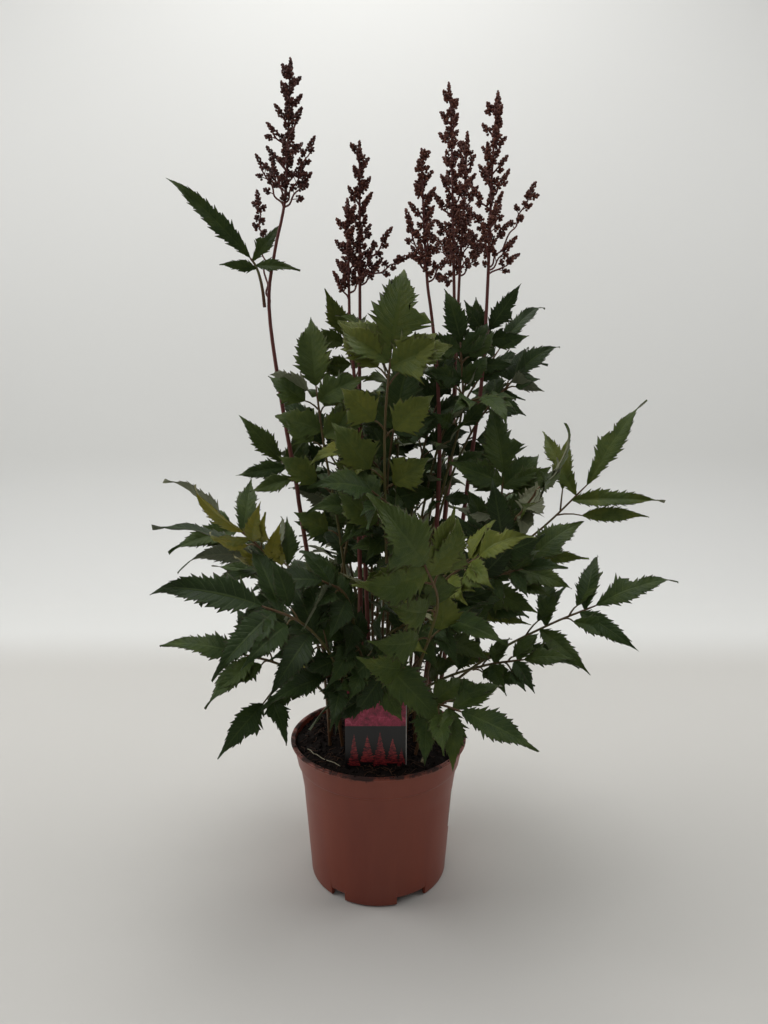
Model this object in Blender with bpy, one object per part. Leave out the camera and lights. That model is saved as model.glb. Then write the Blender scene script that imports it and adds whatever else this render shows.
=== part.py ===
"""Astilbe plant in its nursery pot.

The origin is the centre of the pot's underside, +Z is up and -Y is the front. Sizes and places are in
millimetres, and new_object turns them into metres.
"""
import math
from collections import namedtuple

import bmesh
import bpy
from mathutils import Matrix, Vector, noise
from mathutils.bvhtree import BVHTree

MM = 0.001
GAP = 0.35

# Pot: the radius and height of the outside of its wall, from the foot to the lip
POT_HEIGHT = 116.0
POT_FOOT_R = 58.2
POT_STEP_Z = 76.0
COLLAR_LOW_Z = 94.6
COLLAR_HIGH_Z = 96.0
LIP_FOOT_Z = 113.4
POT_WALL_RISE = ((POT_FOOT_R, 1.5), (64.6, POT_STEP_Z), (67.8, COLLAR_LOW_Z), (69.4, COLLAR_HIGH_Z),
                 (73.2, LIP_FOOT_Z))
POT_LIP_R = 75.5
LIP_SLOPE = 0.4
POT_WALL = 1.5
POT_SIDES = 30
FOOT_BEVEL = 1.5
NOTCH_HEIGHT = 6.0
NOTCH_DEPTH = 12.0
# Each notch in the foot: the angle of its middle from the front, and its width, in degrees
NOTCHES = ((-34, 13), (28, 26), (86, 13), (148, 26), (206, 13), (268, 26))
PLATE_BOTTOM = 7.0
PLATE_THICKNESS = 1.8
DRAIN_HOLES = 6
DRAIN_HOLE_R = 5.0
DRAIN_HOLE_SIDES = 6
DRAIN_RING_R = 32.0
FOOT_PAD_R = 11.0
CUTTER_EXCESS = 2.0

# Soil
SOIL_EDGE_Z = 111.5
SOIL_CROWN = 7.0
SOIL_SPREAD = 72.0
SOIL_RINGS = (18.0, 38.0, 56.0)
SOIL_SIDES = 20
SOIL_ROUGH = 1.6
SOIL_GRAIN = 17.0
STEM_DEPTH = 12.0
STEM_CLEAR = 3.0
HOLE_SIDES = 4
SEAT_SPREAD = 6.6
GOLDEN_ANGLE = math.radians(137.508)

# Label and sticker
LABEL_LEFT = -26.0
LABEL_RIGHT = 22.5
LABEL_TOP = 183.5
LABEL_Y = -53.0
LABEL_THICKNESS = 0.8
LABEL_CORNER = 3.0
LABEL_CORNER_STEPS = 3
LABEL_TONGUE = 24.0
LABEL_TONGUE_HALF = 6.0
LABEL_SHOULDER = 2.0
STICKER_ANGLE = 80.0
STICKER_HALF_WIDTH = 9.0
STICKER_LOW = 42.0
STICKER_HIGH = 76.0
STICKER_THICKNESS = 0.6
STICKER_STEPS = 8

# Leaves: the way a leaf's upper face looks
UP = (0, 0, 1)
FRONT = (0, -1, 0.35)
FRONT_UP = (0, -0.7, 0.8)
LEFT = (-0.8, -0.5, 0.5)
RIGHT = (0.8, -0.5, 0.5)
BACK_UP = (0, 0.5, 0.9)

# Leaflets of a leaf: distance back from the leaf's end, angle of their stalk, stalk, turn and length,
# all in parts of the end leaflet's length, and in degrees
TRIO = ((0.0, 0, 0.0, 0, 1.0), (0.14, 58, 0.0, 0, 0.82), (0.2, -60, 0.0, 0, 0.78))
FIVE = TRIO + ((0.62, 66, 0.0, 0, 0.74), (0.7, -64, 0.0, 0, 0.76))
SEVEN = TRIO + ((0.7, 60, 0.55, 0, 0.8), (0.7, 60, 0.42, 58, 0.62), (0.8, -60, 0.55, 0, 0.8),
                (0.8, -60, 0.42, -58, 0.62))
PAIRS = TRIO + ((0.55, 62, 0.0, 0, 0.76), (0.63, -60, 0.0, 0, 0.78), (1.05, 66, 0.0, 0, 0.66),
                (1.14, -64, 0.0, 0, 0.68))
SPREAD = ((0.0, 0, 0.0, 0, 1.0), (0.04, -92, 0.0, 0, 0.5), (0.09, -142, 0.0, 0, 0.42),
          (0.12, 38, 0.0, 0, 0.34))

# Each leaf: where its leaflets meet, the end leaflet's tip, its width, its face, its leaflets and, for a
# leaf that grows on a flower stem, that stem and the height that it leaves it at
Leaf = namedtuple("Leaf", "hub tip width face leaflets parent")
LEAVES = {
    "leaf_stem_high": ((-105, 0, 520), (-170, -10, 582), 17, FRONT, SPREAD, ("flower_left", 480)),
    "leaf_stem_low": ((-84, 16, 352), (-120, 15, 392), 19, FRONT, FIVE, ("flower_left", 335)),
    "leaf_front_big": ((30, -145, 297), (-5, -165, 345), 34, FRONT, TRIO, None),
    "leaf_left_big": ((-80, -110, 260), (-155, -125, 280), 26, FRONT_UP, FIVE, None),
    "leaf_left_low": ((-100, -80, 215), (-160, -90, 230), 22, FRONT_UP, SEVEN, None),
    "leaf_left_young": ((-100, -70, 305), (-135, -80, 340), 16, LEFT, PAIRS, None),
    "leaf_left_dark": ((-105, -30, 280), (-185, -20, 305), 20, UP, PAIRS, None),
    "leaf_left_far": ((-135, 40, 295), (-200, 50, 340), 24, FRONT_UP, FIVE, None),
    "leaf_olive_left": ((-50, -20, 415), (-55, -5, 472), 32, FRONT, FIVE, None),
    "leaf_olive_centre": ((10, -60, 440), (20, -45, 505), 38, FRONT, TRIO, None),
    "leaf_top_left": ((-30, 20, 460), (-45, 10, 497), 18, FRONT, FIVE, None),
    "leaf_top_centre": ((-5, -12, 450), (-30, -38, 472), 20, FRONT_UP, TRIO, None),
    "leaf_top_mid_right": ((66, -18, 450), (53, -22, 494), 20, FRONT, FIVE, None),
    "leaf_top_right": ((92, 0, 462), (110, -10, 502), 17, FRONT, FIVE, None),
    "leaf_top_far_right": ((104, 22, 448), (145, 30, 495), 17, FRONT_UP, FIVE, None),
    "leaf_right_high": ((115, -5, 425), (145, -15, 452), 20, FRONT_UP, FIVE, None),
    "leaf_right_small": ((80, -40, 405), (97, -76, 388), 18, UP, TRIO, None),
    "leaf_right_upright": ((100, -30, 345), (90, -20, 400), 30, FRONT, FIVE, None),
    "leaf_right_pale": ((125, -70, 345), (142, -86, 384), 27, RIGHT, FIVE, None),
    "leaf_far_right_high": ((185, 30, 330), (240, 40, 410), 20, FRONT_UP, TRIO, None),
    "leaf_right_mid": ((125, -10, 270), (175, 0, 305), 28, FRONT_UP, FIVE, None),
    "leaf_far_right": ((180, -20, 235), (245, -30, 265), 21, FRONT_UP, FIVE, None),
    "leaf_right_fan": ((110, -60, 275), (141, -74, 278), 15, FRONT_UP, FIVE, None),
    "leaf_right_low": ((115, -50, 200), (152, -62, 206), 17, FRONT_UP, FIVE, None),
    "leaf_low_right": ((60, -100, 180), (110, -120, 160), 24, FRONT_UP, FIVE, None),
    "leaf_low_left": ((-40, -70, 194), (-82, -108, 185), 20, FRONT_UP, TRIO, None),
    "leaf_left_behind": ((-50, 50, 365), (-90, 40, 412), 30, FRONT, PAIRS, None),
    "leaf_mid_small": ((-20, -30, 365), (-54, -56, 366), 18, FRONT_UP, FIVE, None),
    "leaf_mid_left": ((-5, -60, 335), (-50, -88, 342), 26, FRONT_UP, PAIRS, None),
    "leaf_mid_deep": ((-10, -20, 315), (-60, -24, 326), 26, FRONT_UP, PAIRS, None),
    "leaf_front_pale": ((70, -110, 295), (100, -132, 318), 20, FRONT_UP, FIVE, None),
    "leaf_centre_high": ((10, 30, 375), (34, 42, 428), 28, FRONT, PAIRS, None),
    "leaf_centre_right": ((50, 0, 405), (68, 12, 454), 24, FRONT, FIVE, None),
    "leaf_centre_dark": ((14, -20, 390), (28, -6, 448), 30, FRONT, PAIRS, None),
    "leaf_right_inner": ((95, -60, 295), (101, -72, 346), 24, FRONT, PAIRS, None),
    "leaf_left_inner": ((-42, -70, 268), (-92, -90, 276), 25, FRONT_UP, PAIRS, None),
    "leaf_low_inner_left": ((-25, -60, 220), (-70, -84, 236), 24, FRONT_UP, PAIRS, None),
    "leaf_low_inner_right": ((50, -70, 238), (92, -104, 230), 24, FRONT_UP, PAIRS, None),
    "leaf_back_left_high": ((-60, 90, 330), (-90, 140, 350), 28, BACK_UP, FIVE, None),
    "leaf_back_high": ((0, 110, 360), (0, 165, 385), 26, BACK_UP, PAIRS, None),
    "leaf_back_right_high": ((60, 100, 340), (95, 145, 355), 28, BACK_UP, FIVE, None),
    "leaf_back_right": ((110, 70, 300), (160, 100, 320), 26, UP, FIVE, None),
    "leaf_back_left": ((-110, 80, 260), (-160, 115, 265), 26, UP, FIVE, None),
    "leaf_back_mid_left": ((-40, 120, 250), (-60, 175, 245), 26, BACK_UP, FIVE, None),
    "leaf_back_mid_right": ((45, 125, 260), (65, 180, 260), 24, BACK_UP, PAIRS, None),
    "leaf_back_low_right": ((110, 100, 205), (150, 140, 195), 24, UP, FIVE, None),
    "leaf_back_low_left": ((-90, 100, 190), (-130, 140, 180), 24, UP, FIVE, None),
    "leaf_back_low": ((0, 95, 195), (5, 150, 185), 24, BACK_UP, FIVE, None),
    "leaf_back_top": ((20, 60, 420), (40, 105, 450), 24, BACK_UP, FIVE, None),
}
LEAF_STALK_R = 1.3
STALK_SIDES = 3
STALK_SWELL = 1.1
STALK_TAPER = 0.35
STALK_STEPS = 4
STALK_RISE = 0.55
STEM_LEAF_RISE = 0.4
STALK_ARRIVAL = 0.22
STALK_BENDS = (0, 8, -8, 16, -16, 24, -24)
STALK_SWELLS = (0, 0.15, -0.15)
TWIG_RADII = (0.9, 0.8)
SEAT_PULL = 0.3

# Leaflets: the outline's teeth are (part of the length, share of the half width)
LEAFLET_RIB = 1.2
LEAFLET_FOLD = 0.16
LEAFLET_CURL = math.radians(34)
LEAFLET_OVERLAP = 0.3
LEAFLET_WIDEST = 0.36
LEAFLET_SHOULDER = 0.7
LEAFLET_TAPER = 0.8
LEAST_WIDTH = 0.4
SMALL_LEAFLET = 66.0
RIM = ((0.12, 1.0), (0.28, 1.12), (0.36, 0.8), (0.52, 1.14), (0.6, 0.76), (0.75, 1.2), (0.84, 0.7))
RIBS = (0.25, 0.62)
SMALL_RIM = ((0.14, 1.0), (0.36, 1.14), (0.47, 0.76), (0.7, 1.22))
SMALL_RIBS = (0.42,)
TOOTH_REACH = 1.15
SHEET_STATIONS = (0.03, 0.14, 0.25, 0.36, 0.48, 0.6, 0.71, 0.82, 0.92, 1.0)
NUDGES = (0, 9, -9, 18, -18, 28, -28, 38, -38)
CLEARANCE = 1.7
CROSSING = 4
LEAFLET_SIZES = (1.0, 0.82, 0.66)

# Each flower stem: its route from the soil to the tip, the height where its plume starts, the longest
# branch at the plume's foot, and the root height and tip of each spray that stands out from the rest
Flower = namedtuple("Flower", "route plume_foot longest sprays")
FLOWER_STEMS = {
    "flower_left": (
        ((-45, 20), (-65, 10, 295), (-70, 5, 335), (-90, 0, 480), (-76, 0, 565), (-70, 0, 675)),
        560, 34, ((563, (-52, 0, 614)), (560, (-97, -5, 598)), (482, (-100, 10, 575)))),
    "flower_centre": (
        ((-5, 10), (-15, 0, 380), (-15, -3, 455), (-15, -3, 505), (-15, -3, 575), (-15, -3, 610)),
        497, 27, ((508, (10, -10, 540)), (504, (25, -15, 518)))),
    "flower_centre_low": (
        ((-10, -8), (-17, -20, 380), (-22, -20, 450), (-23, -20, 485), (-24, -20, 560)),
        488, 22, ((482, (-34, -26, 502)),)),
    "flower_right_inner": (
        ((40, 0), (50, -14, 345), (45, -19, 450), (39, -22, 495), (35, -24, 560), (34, -24, 596)),
        496, 25, ((500, (22, -30, 548)),)),
    "flower_right_tall": (
        ((48, 16), (63, 12, 380), (64, 12, 465), (63, 12, 520), (60, 12, 635), (58, 12, 662)),
        508, 33, ((512, (50, -8, 500)),)),
    "flower_right_outer": (
        ((62, 0), (76, -5, 345), (85, -7, 420), (89, -8, 505), (91, -8, 585), (95, -8, 646)),
        508, 33, ((510, (126, -5, 577)), (505, (114, 0, 522)))),
    "flower_right_back": (
        ((52, 34), (64, 34, 345), (70, 34, 500), (74, 34, 580), (76, 34, 632)),
        512, 30, ()),
}
FLOWER_STEM_R = 1.7
FLOWER_STEM_TIP_R = 0.7
FLOWER_STEM_SIDES = 4
TAPER_FROM_Z = 150.0
BRANCH_STEP = 11.5
BRANCH_SHORTEST = 7.0
BRANCH_RISE = 50
BUD_R = 3.3
BUD_NECK_R = 0.9
BUD_STEP = 7.2
BUD_SWING = 1.4
BUD_TURN = 2.4
BUD_SWELL = 1.1
BUD_TAPER = 0.35
BUD_TIP = 1.4
BRANCH_SIDES = 3
BRANCH_DROOP = 0.06
BRANCH_BARE = 3.0
BRANCH_SIZES = (1.0, 0.75, 0.5)
BRANCH_NUDGES = (0, 25, -25, 50, -50)
SMOOTH_EDGE = math.radians(35)


def new_object(name, verts, faces, material=None):
    mesh = bpy.data.meshes.new(name)
    mesh.from_pydata([Vector(v) * MM for v in verts], [], faces)
    mesh.shade_smooth()
    mesh.set_sharp_from_angle(angle=SMOOTH_EDGE)
    obj = bpy.data.objects.new(name, mesh)
    bpy.context.scene.collection.objects.link(obj)
    if material:
        obj.data.materials.append(material)
    return obj


def new_material(name, colour, roughness):
    material = bpy.data.materials.new(name)
    material.use_nodes = True
    shader = material.node_tree.nodes["Principled BSDF"]
    shader.inputs["Base Color"].default_value = (*colour, 1.0)
    shader.inputs["Roughness"].default_value = roughness
    return material


def apply_boolean(obj, operation, others, solver="EXACT"):
    """Join or cut obj with all the others at once, then remove them."""
    group = bpy.data.collections.new("others")
    bpy.context.scene.collection.children.link(group)
    for other in others:
        group.objects.link(other)
    modifier = obj.modifiers.new(operation.lower(), "BOOLEAN")
    modifier.operation = operation
    modifier.operand_type = "COLLECTION"
    modifier.collection = group
    modifier.solver = solver
    bpy.context.view_layer.update()
    graph = bpy.context.evaluated_depsgraph_get()
    mesh = bpy.data.meshes.new_from_object(obj.evaluated_get(graph))
    obj.modifiers.clear()
    obj.data = mesh
    for other in others:
        bpy.data.objects.remove(other)
    bpy.data.collections.remove(group)
    return obj


def tube(path, radii, sides):
    """Verts and faces of a tapered stalk along a list of points."""
    verts = []
    faces = []
    heading = (path[1] - path[0]).normalized()
    side = heading.orthogonal().normalized()
    last = len(path) - 1
    for k, point in enumerate(path):
        ahead = path[min(k + 1, last)] - path[max(k - 1, 0)]
        turn = heading.rotation_difference(ahead.normalized())
        heading = ahead.normalized()
        side = (turn @ side).normalized()
        other = heading.cross(side)
        for j in range(sides):
            angle = 2 * math.pi * j / sides
            verts.append(point + radii[k] * (math.cos(angle) * side + math.sin(angle) * other))
    for k in range(last):
        for j in range(sides):
            after = (j + 1) % sides
            low = k * sides
            high = low + sides
            faces.append((low + j, low + after, high + after, high + j))
    faces.append(tuple(reversed(range(sides))))
    faces.append(tuple(last * sides + j for j in range(sides)))
    return verts, faces


def spline(points, steps):
    """Points of a smooth curve through all the given points."""
    ends = [2 * points[0] - points[1]] + list(points) + [2 * points[-1] - points[-2]]
    curve = []
    for k in range(1, len(ends) - 2):
        a, b, c, d = ends[k - 1:k + 3]
        for step in range(steps):
            t = step / steps
            curve.append(0.5 * (2 * b + (c - a) * t + (2 * a - 5 * b + 4 * c - d) * t * t
                                + (3 * b - a - 3 * c + d) * t ** 3))
    curve.append(points[-1].copy())
    return curve


def point_back(path, distance):
    """The point of a path that lies a distance back from its end, but not past its start."""
    for k in range(len(path) - 1, 0, -1):
        piece = path[k] - path[k - 1]
        if distance <= piece.length:
            return path[k] - piece.normalized() * distance
        distance -= piece.length
    return path[0].lerp(path[1], 0.5)


def soil_height(x, y):
    """The mounded, slightly rough top of the soil."""
    radius = math.hypot(x, y) / SOIL_SPREAD
    mound = SOIL_CROWN * (1 - radius * radius)
    rough = SOIL_ROUGH * noise.noise(Vector((x, y, 5.0)) / SOIL_GRAIN)
    return SOIL_EDGE_Z + mound + rough


# Leaflets


class Leaflet:
    """A blade from base to tip, arched along its length and folded up a little from its rib."""

    def __init__(self, base, tip, width, face):
        self.base = base
        self.width = width
        chord = tip - base
        self.length = chord.length
        self.along = chord.normalized()
        self.normal = (face - face.dot(self.along) * self.along).normalized()
        self.side = self.normal.cross(self.along)

    def turned(self, pitch, yaw):
        tip = self.along * self.length
        tip.rotate(Matrix.Rotation(math.radians(yaw), 3, self.normal))
        tip.rotate(Matrix.Rotation(math.radians(pitch), 3, self.side))
        return Leaflet(self.base, self.base + tip, self.width, self.normal)

    def at(self, part, across, lift=0.0):
        """The place at a part of the length and a number of millimetres across and above."""
        half = LEAFLET_CURL / 2
        angle = half - LEAFLET_CURL * part
        scale = self.length / (2 * math.sin(half))
        ahead = scale * (math.sin(half) - math.sin(angle))
        rise = scale * (math.cos(angle) - math.cos(half))
        normal = self.normal * math.cos(angle) - self.along * math.sin(angle)
        return (self.base + self.along * ahead + self.normal * rise + self.side * across
                + normal * (abs(across) * LEAFLET_FOLD + lift))

    def half_width(self, part):
        if part < LEAFLET_WIDEST:
            return self.width / 2 * (part / LEAFLET_WIDEST) ** LEAFLET_SHOULDER
        return self.width / 2 * ((1 - part) / (1 - LEAFLET_WIDEST)) ** LEAFLET_TAPER

    def sheet(self):
        """The blade as a plain sheet, for finding clear room."""
        verts = []
        for part in SHEET_STATIONS:
            reach = self.half_width(part) * TOOTH_REACH
            verts += [self.at(part, -reach), self.at(part, 0), self.at(part, reach)]
        faces = []
        for k in range(len(SHEET_STATIONS) - 1):
            for j in range(2):
                low = 3 * k + j
                faces.append((low, low + 1, low + 4, low + 3))
        return verts, faces

    def solid(self):
        """The toothed blade, thickest at its rib."""
        small = self.length < SMALL_LEAFLET
        rim = SMALL_RIM if small else RIM
        ribs = SMALL_RIBS if small else RIBS
        verts = [self.at(0, 0), self.at(1, 0)]
        rows = {}
        for sign in (1, -1):
            rows[sign] = [(0, 0)]
            for part, reach in rim:
                rows[sign].append((part, len(verts)))
                verts.append(self.at(part, sign * self.half_width(part) * reach))
            rows[sign].append((1, 1))
        faces = []
        for lift in (LEAFLET_RIB / 2, -LEAFLET_RIB / 2):
            spine = [(0, 0)]
            for part in ribs:
                spine.append((part, len(verts)))
                verts.append(self.at(part, 0, lift))
            spine.append((1, 1))
            for sign in (1, -1):
                for face in between(rows[sign], spine):
                    faces.append(face[::-1] if (sign > 0) == (lift > 0) else face)
        return verts, faces


def between(row, spine):
    """Triangles between two chains of (part, vertex) that share their first and last vertices."""
    faces = []
    i = 0
    j = 0
    while i < len(row) - 1 or j < len(spine) - 1:
        along_row = j == len(spine) - 1 or (i < len(row) - 1 and row[i + 1][0] <= spine[j + 1][0])
        if along_row:
            face = (row[i][1], row[i + 1][1], spine[j][1])
            i += 1
        else:
            face = (row[i][1], spine[j + 1][1], spine[j][1])
            j += 1
        if len(set(face)) == 3:
            faces.append(face)
    return faces


# Finding clear room


class Taken:
    """The room that is taken already, by owner, so that what grows later is bent clear of it."""

    def __init__(self):
        self.shapes = []

    def add(self, owner, verts, faces):
        low = [min(v[axis] for v in verts) for axis in range(3)]
        high = [max(v[axis] for v in verts) for axis in range(3)]
        self.shapes.append((owner, low, high, verts, BVHTree.FromPolygons(verts, faces)))

    def clashes(self, owners, verts, faces):
        low = [min(v[axis] for v in verts) - CLEARANCE for axis in range(3)]
        high = [max(v[axis] for v in verts) + CLEARANCE for axis in range(3)]
        tree = None
        count = 0
        for owner, other_low, other_high, other_verts, other_tree in self.shapes:
            if owner in owners:
                continue
            if any(low[k] > other_high[k] or high[k] < other_low[k] for k in range(3)):
                continue
            tree = tree or BVHTree.FromPolygons(verts, faces)
            if tree.overlap(other_tree):
                count += CROSSING
            elif any(other_tree.find_nearest(v, CLEARANCE)[0] for v in verts):
                count += 1
            elif any(tree.find_nearest(v, CLEARANCE)[0] for v in other_verts):
                count += 1
        return count

    def best(self, owners, options):
        """The first option that is clear, or else the one that clashes least."""
        found = None
        for option, verts, faces in options:
            clashes = self.clashes(owners, verts, faces)
            if found is None or clashes < found[0]:
                found = (clashes, option, verts, faces)
            if clashes == 0:
                break
        return found


def seats(count):
    """Places for the stems in the soil, spread like the seeds of a sunflower."""
    places = []
    for k in range(count):
        radius = SEAT_SPREAD * math.sqrt(k + 0.5)
        places.append((radius * math.cos(k * GOLDEN_ANGLE), radius * math.sin(k * GOLDEN_ANGLE)))
    return places


def take_seat(places, x, y):
    nearest = min(places, key=lambda seat: (seat[0] - x) ** 2 + (seat[1] - y) ** 2)
    places.remove(nearest)
    return nearest


def soil_start(x, y):
    """The buried end of a stem and the place where it clears the soil."""
    top = soil_height(x, y)
    return [Vector((x, y, top - STEM_DEPTH)), Vector((x, y, top + STEM_CLEAR))]


# Flower stems and their buds


def bead_branch(root, tip):
    """A thin branch that swells into a bud every few millimetres."""
    run = tip - root
    heading = run.normalized()
    side = heading.orthogonal().normalized()
    path = [root]
    radii = [BUD_NECK_R]
    buds = max(1, round((run.length - BRANCH_BARE) / BUD_STEP))
    for bud in range(buds):
        swing = side.copy()
        swing.rotate(Matrix.Rotation(bud * BUD_TURN, 3, heading))
        droop = Vector((0, 0, -1)) * run.length * BRANCH_DROOP * math.sin(math.pi * (bud + 1) / buds)
        middle = root + run * ((bud + 0.75) / buds) + swing * BUD_SWING + droop
        neck = root + run * ((bud + 1.2) / buds) + droop
        size = BUD_R * (BUD_SWELL - BUD_TAPER * bud / buds)
        path.append(middle)
        radii.append(size)
        if bud < buds - 1:
            path.append(neck)
            radii.append(BUD_NECK_R)
        else:
            path.append(middle + heading * size * BUD_TIP)
            radii.append(BUD_NECK_R * 0.6)
    return tube(path, radii, BRANCH_SIDES)


def branch_choices(root, reach, turn):
    """The ways that a side branch may grow, the first choice first."""
    rise = math.radians(BRANCH_RISE)
    choices = []
    for size in BRANCH_SIZES:
        for nudge in BRANCH_NUDGES:
            azimuth = turn * GOLDEN_ANGLE + math.radians(nudge)
            out = Vector((math.cos(azimuth) * math.cos(rise), math.sin(azimuth) * math.cos(rise),
                          math.sin(rise)))
            choices.append((None, *bead_branch(root, root + out * reach * size)))
    return choices


def flower_stem(name, taken, places, material):
    flower = Flower(*FLOWER_STEMS[name])
    start = soil_start(*take_seat(places, *flower.route[0]))
    path = start[:1] + spline(start[1:] + [Vector(point) for point in flower.route[1:]], 2)
    height = path[-1].z
    radii = []
    for point in path:
        part = max(0, point.z - TAPER_FROM_Z) / (height - TAPER_FROM_Z)
        radii.append(FLOWER_STEM_R + (FLOWER_STEM_TIP_R - FLOWER_STEM_R) * part)
    verts, faces = tube(path, radii, FLOWER_STEM_SIDES)
    taken.add(name, verts, faces)
    stem = new_object(name, verts, faces, material)
    branches = []
    for root_z, tip in flower.sprays:
        branches.append(bead_branch(at_height(path, root_z), Vector(tip)))
        taken.add(name + " branch", *branches[-1])
    z = flower.plume_foot
    turn = 0
    while z < height - BRANCH_SHORTEST:
        part = (z - flower.plume_foot) / (height - flower.plume_foot)
        reach = flower.longest + (BRANCH_SHORTEST - flower.longest) * part
        choices = branch_choices(at_height(path, z), reach, turn)
        clashes, choice, *branch = taken.best((name, name + " branch"), choices)
        if clashes == 0:
            branches.append(branch)
            taken.add(name + " branch", *branch)
        z += BRANCH_STEP
        turn += 1
    pieces = [new_object(name + "_branch", *branch) for branch in branches]
    apply_boolean(stem, "UNION", pieces, "MANIFOLD")
    return path


def at_height(path, z):
    for low, high in zip(path, path[1:]):
        if low.z <= z <= high.z:
            return low.lerp(high, (z - low.z) / (high.z - low.z))
    return path[-1].copy()


# Leaves on their stalks


def leaf_stalk(name, taken, places, stem_paths):
    """The route of a leaf's stalk, bent clear of what grew before it."""
    leaf = Leaf(*LEAVES[name])
    hub = Vector(leaf.hub)
    heading = (Vector(leaf.tip) - hub).normalized()
    owners = [name]
    if leaf.parent:
        stem, height = leaf.parent
        owners.append(stem)
        root = at_height(stem_paths[stem], height)
        out = Vector((hub.x - root.x, hub.y - root.y, 0)).normalized()
        start = [root + out * (FLOWER_STEM_R + LEAF_STALK_R * 1.2 + GAP)]
        rise = (hub - root).length * STEM_LEAF_RISE
    else:
        start = soil_start(*take_seat(places, hub.x * SEAT_PULL, hub.y * SEAT_PULL))
        rise = (hub.z - start[-1].z) * STALK_RISE
    reach = (hub - start[-1]).length
    across = Vector((-hub.y, hub.x, 0)).normalized()
    choices = []
    for bend in STALK_BENDS:
        for swell in STALK_SWELLS:
            first = start[-1] + Vector((0, 0, rise * (1 + swell))) + across * bend
            last = hub - heading * reach * STALK_ARRIVAL
            curve = []
            for step in range(1, STALK_STEPS + 1):
                t = step / STALK_STEPS
                curve.append(start[-1] * (1 - t) ** 3 + first * 3 * t * (1 - t) ** 2
                             + last * 3 * t * t * (1 - t) + hub * t ** 3)
            path = start + curve
            end = len(path) - 1
            radii = [LEAF_STALK_R * (STALK_SWELL - STALK_TAPER * k / end) for k in range(end + 1)]
            choices.append((path, *tube(path, radii, STALK_SIDES)))
    return taken.best(owners, choices)


def best_leaflet(name, taken, root, run, width, normal):
    """The leaflet's place, turned or made smaller until it is clear, and how much it still clashes."""
    found = None
    for size in LEAFLET_SIZES:
        base = root - run.normalized() * LEAFLET_OVERLAP
        blade = Leaflet(base, root + run * size, width * size, normal)
        choices = []
        for pitch in NUDGES:
            for yaw in NUDGES:
                nudged = blade.turned(pitch, yaw)
                choices.append((nudged, *nudged.sheet()))
        choices.sort(key=lambda choice: -choice[0].along.dot(blade.along))
        found = taken.best((name,), choices)
        if found[0] == 0:
            break
    return found


def grow_leaf(name, stalk, taken, material):
    leaf = Leaf(*LEAVES[name])
    path, verts, faces = stalk
    body = new_object(name, verts, faces, material)
    axis = Vector(leaf.tip) - Vector(leaf.hub)
    face = Vector(leaf.face)
    normal = (face - face.dot(axis) / axis.dot(axis) * axis).normalized()
    pieces = []
    for back, angle, stalk_part, turn, ratio in leaf.leaflets:
        root = point_back(path, back * axis.length)
        out = axis.normalized()
        out.rotate(Matrix.Rotation(math.radians(angle), 3, normal))
        if stalk_part:
            foot = root
            root = foot + out * stalk_part * axis.length
            if turn == 0:
                pieces.append(tube([foot, root], TWIG_RADII, STALK_SIDES))
        out.rotate(Matrix.Rotation(math.radians(turn), 3, normal))
        width = leaf.width * (LEAST_WIDTH + (1 - LEAST_WIDTH) * ratio)
        clashes, blade, *sheet = best_leaflet(name, taken, root, out * ratio * axis.length, width, normal)
        if clashes < CROSSING:
            taken.add(name, *sheet)
            pieces.append(blade.solid())
    apply_boolean(body, "UNION", [new_object(name + "_piece", *piece) for piece in pieces], "MANIFOLD")


# Pot, soil, label and sticker


def outside_radius(z):
    """The outside of the pot's wall at a height."""
    for (low_r, low_z), (high_r, high_z) in zip(POT_WALL_RISE, POT_WALL_RISE[1:]):
        if z <= high_z:
            return low_r + (high_r - low_r) * (z - low_z) / (high_z - low_z)
    return POT_WALL_RISE[-1][0]


def inside_radius(z):
    return outside_radius(z) - POT_WALL


def make_pot(material):
    floor = PLATE_BOTTOM + PLATE_THICKNESS
    outside = [(POT_FOOT_R - FOOT_BEVEL, 0.0)] + list(POT_WALL_RISE)
    outside += [(POT_LIP_R, LIP_FOOT_Z + LIP_SLOPE), (POT_LIP_R, POT_HEIGHT)]
    inside = [(inside_radius(z), z) for z in (POT_HEIGHT, COLLAR_HIGH_Z, COLLAR_LOW_Z, POT_STEP_Z, floor)]
    underside = [(FOOT_PAD_R, 0.0), (FOOT_PAD_R, PLATE_BOTTOM), (inside_radius(PLATE_BOTTOM), PLATE_BOTTOM),
                 (POT_FOOT_R - 2 * FOOT_BEVEL, 0.0)]
    profile = list(reversed(outside + inside)) + list(reversed(underside))
    count = len(profile)
    verts = []
    faces = []
    for side in range(POT_SIDES):
        angle = 2 * math.pi * side / POT_SIDES
        for radius, height in profile:
            verts.append((radius * math.sin(angle), -radius * math.cos(angle), height))
    top = len(verts)
    verts += [(0, 0, floor), (0, 0, 0)]
    for side in range(POT_SIDES):
        here = side * count
        there = (side + 1) % POT_SIDES * count
        faces.append((top, here, there))
        for k in range(count - 1):
            faces.append((here + k, here + k + 1, there + k + 1, there + k))
        faces.append((here + count - 1, top + 1, there + count - 1))
    pot = new_object("pot", verts, faces, material)
    fix_normals(pot)
    cutters = []
    for angle, width in NOTCHES:
        half_width = math.radians(width) * POT_FOOT_R / 2
        cutters.append(radial_box("notch", math.radians(angle), POT_FOOT_R, half_width, NOTCH_DEPTH / 2,
                                  -CUTTER_EXCESS, NOTCH_HEIGHT))
    for k in range(DRAIN_HOLES):
        angle = 2 * math.pi * (k + 0.5) / DRAIN_HOLES
        x = DRAIN_RING_R * math.sin(angle)
        y = -DRAIN_RING_R * math.cos(angle)
        cutters.append(prism("drain", x, y, DRAIN_HOLE_R, PLATE_BOTTOM - CUTTER_EXCESS, floor + CUTTER_EXCESS,
                             DRAIN_HOLE_SIDES))
    apply_boolean(pot, "DIFFERENCE", cutters)
    return pot


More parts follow.
